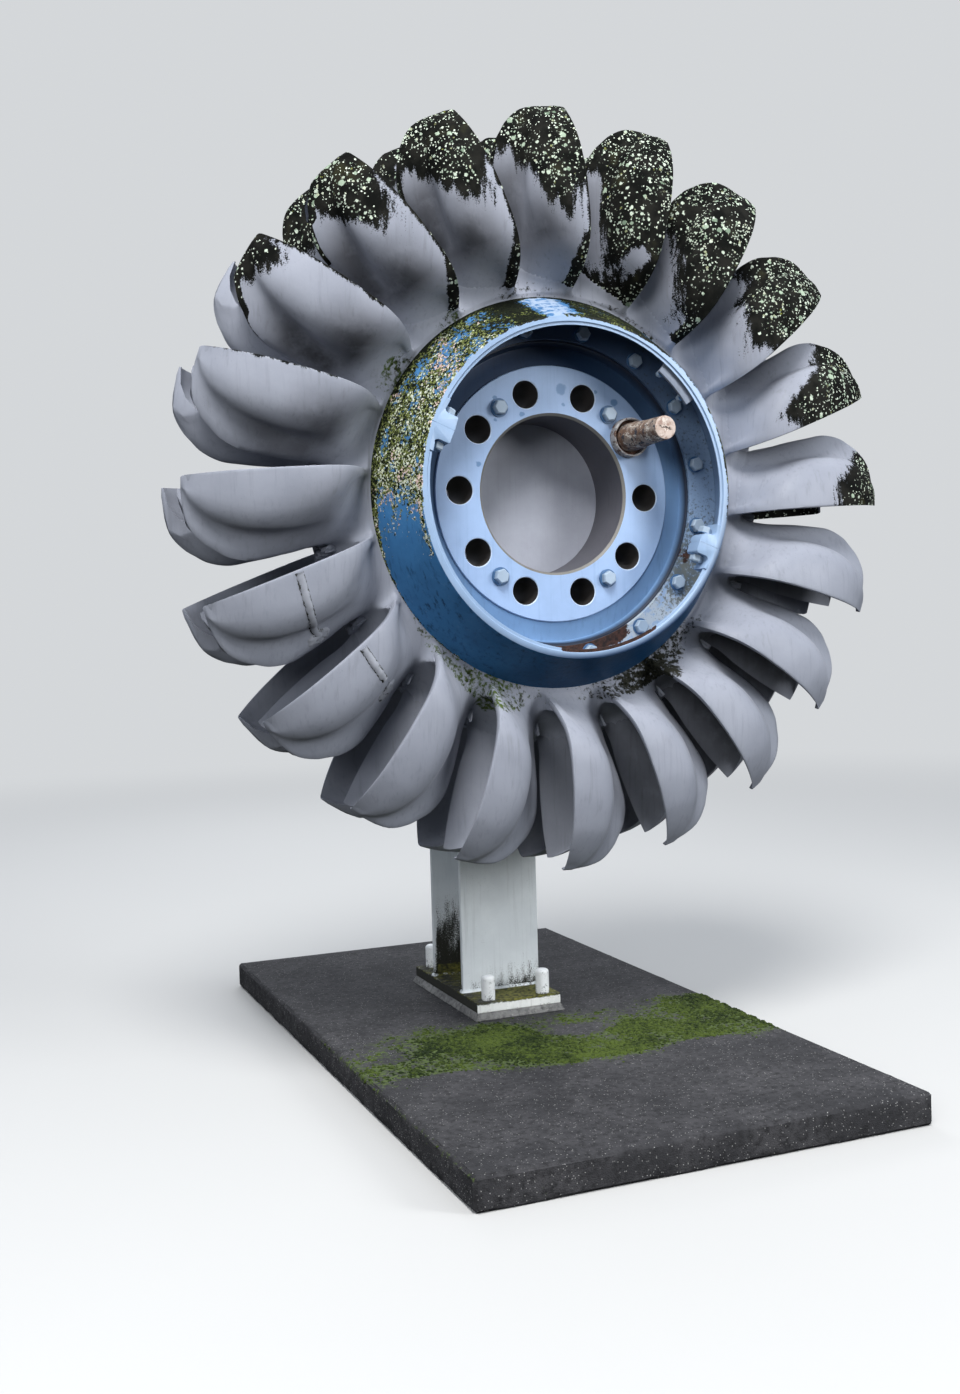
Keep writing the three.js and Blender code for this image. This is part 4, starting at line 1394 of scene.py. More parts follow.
def bolt_tree(head_material, washer_material):
    tree, given = geometry_group("hexagon bolts", "Places", BOLT_SIZES, "Bolts")
    head, head_height, washer, washer_height = (given[key] for key in BOLT_SIZES)
    body_height = head_height * 0.8
    body = add(tree, "GeometryNodeMeshCylinder", {"Vertices": 6, "Radius": head, "Depth": body_height})
    top = add(tree, "GeometryNodeMeshCone", {
        "Vertices": 6, "Radius Top": head * 0.84, "Radius Bottom": head, "Depth": head_height * 0.2})
    disc = add(tree, "GeometryNodeMeshCylinder", {"Vertices": 28, "Radius": washer, "Depth": washer_height})
    marked = {"Geometry": lifted(disc, washer_height * 0.5), "Name": "is_washer", "Value": True}
    bolt = add(tree, "GeometryNodeJoinGeometry", {0: [
        lifted(body, body_height * 0.5 + washer_height),
        lifted(top, body_height + washer_height),
        add(tree, "GeometryNodeStoreNamedAttribute", marked, data_type="BOOLEAN", domain="FACE"),
    ]})
    facing = add(tree, "GeometryNodeInputNamedAttribute", {"Name": "facing"}, data_type="FLOAT_VECTOR")
    turned = add(tree, "FunctionNodeAlignRotationToVector", {"Vector": facing}, axis="Z")
    placed = add(tree, "GeometryNodeInstanceOnPoints", {
        "Points": given["Places"], "Instance": bolt, "Rotation": spun(tree, turned, given["Seed"])})
    real = add(tree, "GeometryNodeRealizeInstances", {0: placed})
    heads = add(tree, "GeometryNodeSetMaterial", {"Geometry": real, "Material": head_material})
    chosen = add(tree, "GeometryNodeInputNamedAttribute", {"Name": "is_washer"}, data_type="BOOLEAN")
    washers = {"Geometry": heads, "Selection": chosen, "Material": washer_material}
    add(tree, "NodeGroupOutput", {0: add(tree, "GeometryNodeSetMaterial", washers)})
    return tree


BOLT_PAINT = painted("bolt_paint", (0.30, 0.38, 0.47), (0.03, 0.035, 0.04), 0.4, 0.1, 0.7, 0.38)
WASHER_PAINT = painted("washer_paint", (0.05, 0.12, 0.24), (0.01, 0.015, 0.02), 0.5, 0.1, 0.6, 0.42)
BOLTS = bolt_tree(BOLT_PAINT, WASHER_PAINT)
print("bolt nodes:", len(BOLTS.nodes))

# %% [markdown]
# The tree is run on a small mesh of points, and the result is kept as a plain mesh. The next helper does
# that for any tree, and sets the inputs by the identifiers of their sockets.

# %% Run a tree and keep its result
def baked(name, source, tree, **values):
    """Runs a Geometry Nodes tree on a mesh and returns what it makes as a plain mesh."""
    carrier = new_object(name, source)
    modifier = carrier.modifiers.new("nodes", "NODES")
    modifier.node_group = tree
    for item in tree.interface.items_tree:
        if item.item_type == "SOCKET" and item.in_out == "INPUT" and item.name in values:
            modifier[item.identifier] = values[item.name]
    bpy.context.view_layer.update()
    mesh = bpy.data.meshes.new_from_object(carrier.evaluated_get(bpy.context.evaluated_depsgraph_get()))
    bpy.data.objects.remove(carrier)
    mesh.name = name
    return mesh


def bolt_row(name, places, facings, sizes, seed):
    """Bolts at given points of the wheel, each facing its own way, sized as BOLT_SIZES lists."""
    points = bpy.data.meshes.new(name + "_points")
    points.from_pydata([tuple(p + WHEEL_PLACE) for p in places], [], [])
    layer = points.attributes.new("facing", "FLOAT_VECTOR", "POINT")
    layer.data.foreach_set("vector", np.array([tuple(f) for f in facings], np.float32).ravel())
    mesh = baked(name, points, BOLTS, Seed=seed, **dict(zip(BOLT_SIZES, sizes)))
    return finish_mesh(name, mesh, [], "wheel", sharp=28, place=AS_IT_IS)


FORWARD = Vector((0, -1, 0))
GUTTER_CIRCLE, GUTTER_BOLTS = 0.645, 16
flange_places = [polar(HOLE_CIRCLE, angle, -0.0002) for angle in (52.4, 124.7, 233.0, 304.0)]
bolt_row("flange_bolts", flange_places, [FORWARD] * 4, (0.030, 0.024, 0.037, 0.006), seed=5)
pitch = 360 / GUTTER_BOLTS
gutter_places = [polar(GUTTER_CIRCLE, 90 + pitch / 2 + pitch * k, -0.0271) for k in range(GUTTER_BOLTS)]
gutter_bolts = bolt_row(
    "gutter_bolts", gutter_places, [FORWARD] * GUTTER_BOLTS, (0.029, 0.022, 0.0335, 0.005), seed=11)
print("triangles in the gutter bolts:", triangles(gutter_bolts.data))

# %% Lug bolts and the balance strip
def tangent(degrees):
    angle = math.radians(degrees)
    return Vector((-math.sin(angle), 0, math.cos(angle)))


def beside_joint(at, radius, away, depth):
    """A point next to a joint: a radius along it, and a distance away from it."""
    return polar(radius, at, depth) + tangent(at) * away


lug_places, lug_facings = [], []
for at, minus, plus in ((SPLIT, -0.052, 0.054), (SPLIT - 180, -0.046, 0.044)):
    for away in (minus, plus):
        lug_places.append(beside_joint(at, 0.588, away, RIM_Y + 0.045))
        lug_facings.append(tangent(at) * math.copysign(1, away))
bolt_row("lug_bolts", lug_places, lug_facings, (0.026, 0.026, 0.027, 0.003), seed=2)
BALANCE_FROM, BALANCE_TO = 35.0, 52.0
strip_outline = rounded([
    (0.586, -0.2143, 0.002), (0.586, -0.2263, 0.003), (0.6265, -0.2263, 0.002), (0.6265, -0.2143),
])
STRIP_PAINT = painted("strip_paint", (0.17, 0.20, 0.26), (0.03, 0.03, 0.035), 0.5, 0.3, 0.7, 0.5)
finish_mesh(
    "balance_plate_strip", lathe("strip", strip_outline, 24, BALANCE_FROM, BALANCE_TO), STRIP_PAINT, "wheel",
    ["balance_plate"], sharp=40)
balance_places = [polar(0.597, angle, -0.2135) for angle in (50.2, 38.0)]
bolt_row("balance_bolts", balance_places, [-FORWARD] * 2, (0.0145, 0.03, 0.016, 0.004), seed=8)
print("lug bolts:", len(lug_places))

# %% [markdown]
# ## The coupling pin
#
# One coupling bolt was left in its hole. Its collar is hollow and rusty inside, the shank is mottled grey
# and white, and the sawn end is pinkish with a dark crack. It is turned on its own axis.

# %% Finishes of the pin
PIN_ANGLE, PIN_END = 34.46, -0.310
PIN_PLACE = WHEEL_PLACE + polar(HOLE_CIRCLE, PIN_ANGLE, 0)


def mottled(name, tones, rough, crack=None):
    """Rusty iron in four tones, mixed by noise of three sizes, with a dark crack through a given point."""
    material, tree = start_material(name)
    base = mix(ramp(grain(tree, 26.0, 6.0, 0.7), 0.44, 0.56), tones[0], tones[1])
    base = mix(ramp(grain(tree, 48.0, 5.0, 0.7), 0.53, 0.58), base, tones[2])
    base = mix(ramp(grain(tree, 38.0, 6.0, 0.75, stretched(tree, (1, 0.6, 1))), 0.55, 0.60), base, tones[3])
    if crack:
        near = add(tree, "ShaderNodeVectorMath", {0: on_object(tree), 1: crack}, operation="SUBTRACT")
        part = add(tree, "ShaderNodeSeparateXYZ", {0: near})
        wander = grain(tree, 55.0, 4.0, 0.7) * 0.05 - 0.025
        across = maths("ABSOLUTE", part[0] * 0.35 + part[2] + wander)
        ends = ramp(maths("ABSOLUTE", part[0]), 0.034, 0.022)
        base = mix(ramp(across, 0.0035, 0.0015) * ends, base, (0.025, 0.015, 0.012))
    end_material(tree, base, rough, grain(tree, 120.0, 6.0, 0.7), strength=0.5)
    return material


SHANK_IRON = mottled(
    "pin_shank", ((0.15, 0.085, 0.055), (0.30, 0.25, 0.21), (0.03, 0.035, 0.05), (0.56, 0.52, 0.46)), 0.7)
COLLAR_IRON = mottled(
    "pin_collar", ((0.20, 0.20, 0.21), (0.30, 0.29, 0.29), (0.10, 0.05, 0.03), (0.45, 0.44, 0.43)), 0.6)
HOLLOW_RUST = mottled(
    "pin_hollow", ((0.05, 0.02, 0.012), (0.10, 0.05, 0.035), (0.02, 0.012, 0.012), (0.16, 0.09, 0.06)), 0.9)
END_GRAIN = mottled(
    "pin_end", ((0.42, 0.33, 0.28), (0.52, 0.43, 0.38), (0.30, 0.20, 0.16), (0.62, 0.56, 0.50)), 0.7,
    crack=tuple(PIN_PLACE))

# %% The coupling pin
pin_outline = rounded([
    (0, PIN_END + 0.001), (0.030, PIN_END, 0.01), (0.0455, PIN_END + 0.0005, 0.003),
    (0.047, PIN_END + 0.012, 0.004),
    (0.049, -0.17, 0.03), (0.056, -0.085, 0.02), (0.057, -0.016, 0.006), (0.069, -0.014, 0.004),
    (0.071, -0.038, 0.002), (0.079, -0.040, 0.004), (0.080, -0.0004), (0.047, -0.0004), (0.047, 0.250), (0, 0.250),
])
pin_mesh = lathe("pin", pin_outline, 48)
finish_mesh(
    "coupling_pin_turned", pin_mesh, [SHANK_IRON, COLLAR_IRON, HOLLOW_RUST, END_GRAIN], "wheel",
    ["coupling_pin"], sharp=35, place=PIN_PLACE)
for polygon in pin_mesh.polygons:
    centre = polygon.center - PIN_PLACE
    radius, away = math.hypot(centre.x, centre.z), centre.y
    if radius > 0.0795 and away < -0.001:
        polygon.material_index = 2
    elif radius > 0.0690 and away < 0:
        polygon.material_index = 1
    elif radius > 0.0555 and -0.03 < away < 0.0:
        polygon.material_index = 2
    elif away < PIN_END + 0.0022:
        polygon.material_index = 3
print("triangles in the pin:", triangles(pin_mesh))

# %% [markdown]
# ## The stand
#
# The post is a wide-flange steel column, welded to a base plate that sits on a bed of grout over a concrete
# pad. Cut from boxes, all of them would look brand new. So each is made from grids that are fine enough
# to carry its dirt, and the pad and the grout lose a little at their edges, as cast concrete does.

# %% Finishes of the stand
def concrete_finish(name, dark, light, fleck, flecks, green):
    """Concrete with fine aggregate, a darker skin of dirt, and moss stains where the mesh asks for them."""
    material, tree = start_material(name)
    base = mix(ramp(grain(tree, 4.5, 7.0, 0.62), 0.34, 0.68), dark, light)
    base = mix(ramp(grain(tree, 40.0, 5.0, 0.7), 0.42, 0.7), base, tuple(0.55 * c for c in dark))
    distance, lot = cells(tree, 170.0)
    stone = ramp(lot[0], 1 - flecks, 1 - flecks + 0.02) * ramp(distance, 0.42, 0.30)
    base = mix(stone * lot[1], base, fleck)
    height = distance * -0.6 + grain(tree, 60.0, 6.0, 0.7) * 0.8
    layers = overgrown((base, 0.88, height), moss, 0.97, Amount=attribute(tree, "moss"), Green=green)
    end_material(tree, *layers, strength=0.45, distance=0.005, specular=0.35)
    return material


POST_PAINT = painted(
    "post_paint", (0.72, 0.76, 0.78), (0.05, 0.055, 0.055), 0.35, 0.16, 0.8, 0.42, mossy=True, fine=1.0)
PLATE_PAINT = painted(
    "plate_paint", (0.80, 0.81, 0.78), (0.05, 0.055, 0.045), 0.5, 0.3, 0.9, 0.5, mossy=True, fine=1.0)
CAP_PAINT = painted(
    "cap_paint", (0.86, 0.88, 0.88), (0.04, 0.04, 0.04), 0.2, 0.1, 0.6, 0.4, mossy=True, fine=0.5)
PAD_CONCRETE = concrete_finish(
    "pad_concrete", (0.023, 0.023, 0.026), (0.050, 0.049, 0.053), (0.34, 0.34, 0.33), 0.10, 1.1)
GROUT_CONCRETE = concrete_finish(
    "grout_concrete", (0.13, 0.13, 0.13), (0.27, 0.27, 0.26), (0.36, 0.36, 0.35), 0.08, 0.5)
print("stand finishes made")

# %% A helper for slabs with worn edges
def slab_lines(low, high, edge, step):
    """Grid lines from low to high, close together at the two edges."""
    inner = np.linspace(low + edge, high - edge, max(2, int(round((high - low - 2 * edge) / step)) + 1))
    near = [0.0, 0.3 * edge, 0.65 * edge]
    return np.concatenate([[low + n for n in near], inner, [high - n for n in reversed(near)]])


def slab(name, low, high, edge, step, wear=0.0):
    """A box with rounded edges, made from six grids; wear eats into its edges unevenly."""
    low, high = np.array(low, float), np.array(high, float)
    points, faces = [], []
    for axis in range(3):
        u, v = (axis + 1) % 3, (axis + 2) % 3
        lines_u, lines_v = (slab_lines(low[k], high[k], edge, step[k]) for k in (u, v))
        for level in (low[axis], high[axis]):
            first = len(points)
            for a in lines_u:
                for b in lines_v:
                    point = np.empty(3)
                    point[axis], point[u], point[v] = level, a, b
                    points.append(point)
            wide = len(lines_v)
            for i in range(len(lines_u) - 1):
                for j in range(wide - 1):
                    k = first + i * wide + j
                    faces.append((k, k + 1, k + wide + 1, k + wide))
    points = np.array(points)
    inner = np.clip(points, low + edge, high - edge)
    away = points - inner
    length = np.linalg.norm(away, axis=1)
    rounding = np.where(length > 0, edge / np.maximum(length, 1e-9), 1)
    on_edge = np.clip((np.count_nonzero(np.abs(away) > 1e-6, axis=1) - 1), 0, 1)
    eaten = np.zeros(len(points))
    if wear:
        for i in np.nonzero(on_edge)[0]:
            place = Vector(points[i])
            eaten[i] = wear * max(0, 0.4 + noise.noise(place * 9) + 0.6 * noise.noise(place * 31))
    points = inner + away * np.minimum(rounding, 1)[:, None] * (1 - np.minimum(eaten / edge, 0.9))[:, None]
    return mesh_from(name, points, faces)


print("lines across a pad edge:", np.round(slab_lines(0, 0.12, 0.01, 0.05), 4))

# %% [markdown]
# The dirt on the stand follows its own rules. Mould fills the sheltered recess of the column from below,
# spots the foot of its face, and runs up along its right-hand edge. Moss lies on the plate, and in a broad
# mat under the wheel, where the water drips.

# %% Dirt and moss of the stand
PAD_TOP, GROUT_TOP, PLATE_TOP = 0.120, 0.1503, 0.1956
PAD_HALF_X, PAD_HALF_Y = 0.882, 1.62
PLATE_MIDDLE, PLATE_HALF_X, PLATE_HALF_Y = 0.403, 0.198, 0.393
GROUT_HALF_X, GROUT_HALF_Y, GROUT_BATTER = 0.214, 0.409, 0.016
ANCHOR_X, ANCHOR_Y = 0.130, 0.351
POST_MIDDLE, POST_HALF_X, POST_HALF_Y, POST_FLANGE, POST_WEB = 0.399, 0.1855, 0.1895, 0.022, 0.014
MAT_BARE = ((0.16, -0.30, 0.16, 0.07), (0.50, -0.72, 0.16, 0.06), (-0.62, -0.66, 0.16, 0.06))


def post_dirt(points):
    x, y, z = points.T
    front = y < POST_MIDDLE - POST_HALF_Y + 0.003
    recess = (np.abs(y - POST_MIDDLE) < POST_HALF_Y - 0.004) & (np.abs(x) < POST_HALF_X - 0.003)
    height = z - PLATE_TOP
    in_recess = np.interp(
        height, (0, 0.05, 0.16, 0.24, 0.32, 0.38, 0.46, 0.9), (.74, .66, .58, .52, .45, .37, .25, .12))
    along_edge = np.interp(height, (0, 0.04, 0.10, 0.17, 0.5, 0.8, 1.2), (.62, .52, .44, .30, .245, .25, .29))
    sideways = np.interp(x, (-0.19, -0.05, 0.05, 0.19), (0.66, 0.8, 0.92, 1.0))
    amount = np.where(recess, in_recess, np.where(front, along_edge * sideways, along_edge * 0.9))
    return amount, np.where((height < 0.05) & recess, 0.6, 0.0)


def plate_dirt(points):
    x, y, z = points.T
    top = z > PLATE_TOP - 0.006
    front = y < PLATE_MIDDLE - PLATE_HALF_Y + 0.006
    left = x < -PLATE_HALF_X + 0.006
    from_top = np.interp(PLATE_TOP - z, (0, 0.012, 0.03, 0.045), (.52, .40, .34, .42))
    amount = np.where(top, 0.62, np.where(front, from_top, np.where(left, 0.85, 0.50)))
    amount = np.where(top & (np.hypot(x - 0.02, (y - 0.10) * 0.7) < 0.12), 0.75, amount)
    green = np.where(top, np.interp(x, (-0.15, -0.03, 0.1), (0.45, 0.85, 1.0)), np.where(left, 0.05, 0.35))
    return amount, green


def pad_moss(points):
    """Amount of moss on the pad: a mat under the wheel, patches by the post's foot and on the edges."""
    x, y, z = points.T
    band = np.interp(y, (-0.98, -0.80, -0.66, -0.30, -0.08, 0.05, 0.16), (0, .30, .58, .66, .56, .30, 0))
    across = np.interp(x, (-0.88, -0.62, -0.3, 0.1, 0.45, 0.7, 0.88), (.75, .85, 1.0, .95, .90, 1.0, 1.0))
    rough = np.array([noise.fractal(Vector((px * 3.2, py * 4.5, 0.3)), 1.0, 2.0, 4) for px, py in zip(x, y)])
    amount = band * across + np.where(band > 0.02, 0.16 * rough, 0)
    for middle_x, middle_y, half_x, half_y in MAT_BARE:
        amount -= 0.35 * np.clip(1.4 - np.hypot((x - middle_x) / half_x, (y - middle_y) / half_y), 0, 1)
    left_edge = 0.45 * np.clip(1 - (x + PAD_HALF_X) / 0.05, 0, 1) * np.clip((0.4 - y) / 0.4, 0, 1)
    return np.where(z > PAD_TOP - 0.02, np.maximum(amount, left_edge), 0.30)


print("moss under the wheel:", pad_moss(np.array([[0.2, -0.3, 0.12]])))

# %% Make the pad, the grout and the base plate
def stand_piece(name, mesh, material, node_name, dirt, sharp=40):
    """Stores a piece's dirt, which is moss and its green or moss alone, and finishes the piece."""
    values = dirt(point_list(mesh))
    moss_amount, green = values if isinstance(values, tuple) else (values, np.full(len(values), 1.0))
    set_values(mesh, moss=moss_amount, green=green)
    return finish_mesh(name, mesh, material, "stand", [node_name], sharp, place=AS_IT_IS)


def grout_dirt(points):
    return np.full(len(points), 0.30)


pad_mesh = slab(
    "pad", (-PAD_HALF_X, -PAD_HALF_Y, 0), (PAD_HALF_X, PAD_HALF_Y, PAD_TOP), 0.012, (0.03, 0.03, 0.035),
    wear=0.006)
pad = stand_piece("concrete_pad_cast", pad_mesh, PAD_CONCRETE, "concrete_pad", pad_moss)
grout_mesh = slab(
    "grout", (-GROUT_HALF_X, PLATE_MIDDLE - GROUT_HALF_Y, PAD_TOP + 0.0003),
    (GROUT_HALF_X, PLATE_MIDDLE + GROUT_HALF_Y, GROUT_TOP), 0.003, (0.02, 0.02, 0.008), wear=0.001)
for vertex in grout_mesh.vertices:
    share = (vertex.co.z - PAD_TOP) / (GROUT_TOP - PAD_TOP)
    vertex.co.x *= 1 - GROUT_BATTER / GROUT_HALF_X * share
    vertex.co.y = PLATE_MIDDLE + (vertex.co.y - PLATE_MIDDLE) * (1 - GROUT_BATTER / GROUT_HALF_Y * share)
stand_piece("grout_bed_cast", grout_mesh, GROUT_CONCRETE, "grout_bed", grout_dirt)
plate_mesh = slab(
    "plate", (-PLATE_HALF_X, PLATE_MIDDLE - PLATE_HALF_Y, GROUT_TOP + 0.0003),
    (PLATE_HALF_X, PLATE_MIDDLE + PLATE_HALF_Y, PLATE_TOP - 0.0003), 0.003, (0.012, 0.012, 0.010))
stand_piece("base_plate_cut", plate_mesh, PLATE_PAINT, "base_plate", plate_dirt)
print("triangles in the pad:", triangles(pad.data))

# %% [markdown]
# A rolled column has rounded roots where its flanges meet the web, and slightly rounded edges. Its outline
# is drawn once with those roundings and swept upwards in short steps, so that dirt can be stored on it.

# %% The post, its foot weld and the anchor caps
def column_outline():
    x, y, inner, web = POST_HALF_X, POST_HALF_Y, POST_HALF_Y - POST_FLANGE, POST_WEB / 2
    corners = [
        (-x, -y, .002), (x, -y, .002), (x, -inner, .002), (web, -inner, .02), (web, inner, .02), (x, inner, .002),
        (x, y, .002), (-x, y, .002), (-x, inner, .002), (-web, inner, .02), (-web, -inner, .02), (-x, -inner, .002),
    ]
    fine, result = rounded(corners, steps=5), []
    for i, point in enumerate(fine):
        here, after = Vector(point), Vector(fine[(i + 1) % len(fine)])
        pieces = max(1, int((after - here).length / 0.014))
        result += [tuple(here.lerp(after, k / pieces)) for k in range(pieces)]
    return result


def column(name, outline, low, high, step):
    levels = np.linspace(low, high, int((high - low) / step) + 1)
    points = [(x, POST_MIDDLE + y, z) for z in levels for x, y in outline]
    faces = loop_faces(len(levels), len(outline)) + end_faces(len(levels), len(outline))
    return mesh_from(name, points, faces)


POST_TOP = PLATE_TOP + 2.35
post_mesh = column("post", column_outline(), PLATE_TOP, POST_TOP, 0.016)
post = stand_piece("post_rolled", post_mesh, POST_PAINT, "post", post_dirt, sharp=30)
print("triangles in the post:", triangles(post.data))


ACROSS_BEAD = ((-1, -0.3), (-0.6, 0.75), (0, 1), (0.6, 0.75), (1, -0.3))


def bead(name, path, width, height, lumps, seed=0, closed=False, ripple=0.0):
    """A weld bead along (point, normal) pairs: five points across, waved by noise, and closed below."""
    points, count = [], len(path)
    for i, (place, normal) in enumerate(path):
        before = path[i - 1][0] if (i or closed) else place
        after = path[(i + 1) % count][0] if (i < count - 1 or closed) else place
        side = (after - before).cross(normal).normalized()
        for share, rise in ACROSS_BEAD:
            wave = 1 + lumps * noise.noise(Vector((i * 0.55 + seed, share * 1.3, seed)))
            wave += ripple * math.cos(i * math.pi)
            sideways = side * (share * width / 2 * (0.85 + 0.15 * wave))
            points.append(place + sideways + normal * (height * rise * wave))
    faces = loop_faces(count, len(ACROSS_BEAD), joined=closed)
    if not closed:
        faces += end_faces(count, len(ACROSS_BEAD))
    return mesh_from(name, points, faces)


upwards = Vector((0, 0, 1))
foot_path = [(Vector((x, POST_MIDDLE + y, PLATE_TOP + 0.001)), upwards) for x, y in column_outline()]
foot_mesh = bead("foot_weld", foot_path, 0.020, 0.009, 0.7, closed=True)
foot_moss, foot_green = post_dirt(point_list(foot_mesh))
set_values(foot_mesh, moss=foot_moss * 0.8, green=foot_green)
finish_mesh("foot_weld", foot_mesh, POST_PAINT, "stand", sharp=60, place=AS_IT_IS)

cap_outline = [(0, 0.0003), (0.0295, 0.0003), (0.030, 0.004)]
cap_outline += [(0.030, z) for z in np.linspace(0.016, 0.084, 5)]
for turn in np.linspace(0.05, math.pi / 2 - 0.02, 8):
    cap_outline.append((0.030 * math.cos(turn) ** 0.6, 0.092 + 0.016 * math.sin(turn)))
cap_outline.append((0, 0.108))
for number, (side_x, side_y) in enumerate(((-1, -1), (1, -1), (-1, 1), (1, 1)), start=1):
    cap_mesh = lathe("cap", cap_outline, 36)
    cap_mesh.transform(Matrix.Rotation(math.radians(90), 4, "X"))
    cap_heights = point_list(cap_mesh)[:, 2]
    flip = 1 if cap_heights.max() > 0.05 else -1
    cap_mesh.transform(Matrix.Diagonal((1, flip, flip, 1)))
    spots = np.interp(np.abs(cap_heights), (0, 0.02, 0.06, 0.09, 0.108), (0.48, 0.43, 0.40, 0.44, 0.34))
    set_values(cap_mesh, moss=spots, green=np.zeros(len(spots)))
    name = f"anchor_bolt_{number}"
    place = Vector((side_x * ANCHOR_X, PLATE_MIDDLE + side_y * ANCHOR_Y, PLATE_TOP))
    finish_mesh(name + "_cap", cap_mesh, CAP_PAINT, "stand", [name], sharp=50, place=place)
print("anchor caps made")

# %% [markdown]
# ## Welds and patches on two repaired buckets
#
# Two buckets on the left have been repaired: a bead runs from the rim down the back of the cup and ends in
# a rough patch. Beads are ribbons that lie on the surface. Each path is given by a few points of the
# bucket, and the nearest points on its surface carry the ribbon.

# %% Lay the weld beads
def on_bucket(number, tree, radius, height, offset):
    """Nearest point of a bucket's surface, and its normal, for a place given in the bucket's own sizes."""
    outwards, mouthwards = local_frame(bucket_angle(number))
    place = Vector(outwards) * radius + Vector(mouthwards) * height
    place.y = MID_PLANE - offset
    near, normal, _, _ = tree.find_nearest(place)
    return near, normal


def bead_path(number, corners, spacing=0.009):
    tree = bucket_tree([number])
    corners = np.array(corners, float)
    lengths = np.concatenate([[0], np.cumsum(np.linalg.norm(np.diff(corners, axis=0), axis=1))])
    at = np.linspace(0, lengths[-1], int(lengths[-1] / spacing))
    rows = np.stack([np.interp(at, lengths, corners[:, k]) for k in range(3)], axis=1)
    return [on_bucket(number, tree, *row) for row in rows]


WELD_PAINT = painted(
    "weld_paint", (0.30, 0.315, 0.355), (0.05, 0.05, 0.05), 0.5, 0.1, 0.8, 0.42, crusted=True, mossy=True)
WELDS = {  # radius, height and offset of the points that a bead runs through
    16: [(1.165, 0.024, 0.364), (1.166, -0.05, 0.352), (1.165, -0.10, 0.333), (1.160, -0.15, 0.306),
         (1.145, -0.19, 0.25), (1.12, -0.225, 0.185)],
    15: [(1.071, 0.028, 0.369), (1.070, -0.03, 0.36), (1.068, -0.094, 0.338), (1.062, -0.14, 0.28),
         (1.049, -0.184, 0.196)],
}
PATCHES = {16: (1.122, -0.232, 0.188, 0.056, 0.038), 15: (1.047, -0.188, 0.196, 0.052, 0.034)}


def patch_mesh(name, number, radius, height, offset, long, wide):
    """A rough weld patch: a small uneven disc that lies on the bucket."""
    tree = bucket_tree([number])
    middle, normal = on_bucket(number, tree, radius, height, offset)
    along = Vector(local_frame(bucket_angle(number))[0])
    along = (along - normal * along.dot(normal)).normalized()
    across = normal.cross(along)
    sides, rings = 36, 7
    points, faces = [middle + normal * 0.004], [(0, 1 + k, 1 + (k + 1) % sides) for k in range(sides)]
    for ring in range(1, rings + 1):
        share = ring / rings
        for k in range(sides):
            x, z = math.cos(2 * math.pi * k / sides), math.sin(2 * math.pi * k / sides)
            uneven = 1 + 0.28 * noise.noise(Vector((x * 1.6, z * 1.6, number)))
            spot = middle + along * (x * long * share * uneven) + across * (z * wide * share * uneven)
            near, up_here, _, _ = tree.find_nearest(spot)
            rough = 0.5 + noise.noise(near * 90) + 0.5 * noise.noise(near * 190)
            lift = -0.002 if ring == rings else 0.008 * (1 - share ** 3) * (0.4 + rough)
            points.append(near + up_here * lift)
    faces += [tuple(1 + corner for corner in face) for face in loop_faces(rings, sides)]
    outermost = 1 + (rings - 1) * sides
    faces += [(len(points), outermost + (k + 1) % sides, outermost + k) for k in range(sides)]
    points.append(middle - normal * 0.006)
    return mesh_from(name, points, faces)


# Moss stain across a bead, from edge to edge: the dark lines at its two edges are painted shade of the crease, with
# some dirt.
EDGE_TO_EDGE = (0.60, 0.42, 0.26, 0.42, 0.60)
for number, corners in WELDS.items():
    path = bead_path(number, corners)
    seam = bead("seam", path, 0.036, 0.0075, 0.7, seed=number, ripple=0.28)
    shade_and_dirt_across = EDGE_TO_EDGE * len(path)
    in_order = len(seam.vertices) == len(shade_and_dirt_across)
    whole = joined(f"repair_weld_{number}", [seam, patch_mesh("patch", number, *PATCHES[number])])
    dark = np.full(len(whole.vertices), 0.40)
    if in_order:
        dark[:len(shade_and_dirt_across)] = shade_and_dirt_across
    set_values(whole, crust=np.full(len(dark), NO_CRUST), moss=dark, green=np.zeros(len(dark)))
    finish_mesh(f"repair_weld_{number}", whole, WELD_PAINT, "wheel", sharp=70)
print("welds laid on buckets", sorted(WELDS))

# %% [markdown]
# ## Moss cushions
#
# A stain alone looks flat from the side, so real cushions grow out of it: small uneven lumps, scattered by
# Geometry Nodes. The tree spreads points over a mesh where its moss attribute is strong and the same noise
# as in the stain is high, and sets a lump of random size and turn on each. The lumps keep the amount of
# green from the spot on which they stand. Thousands of lumps grow, each a few millimetres wide, so a lump has
# only 36 triangles.

# %% Build the cushion tree
CUSHION_SIZES = {"Density": 9000.0, "Needed": 1.0, "Smallest": 0.004, "Largest": 0.011, "Flatness": 0.6}


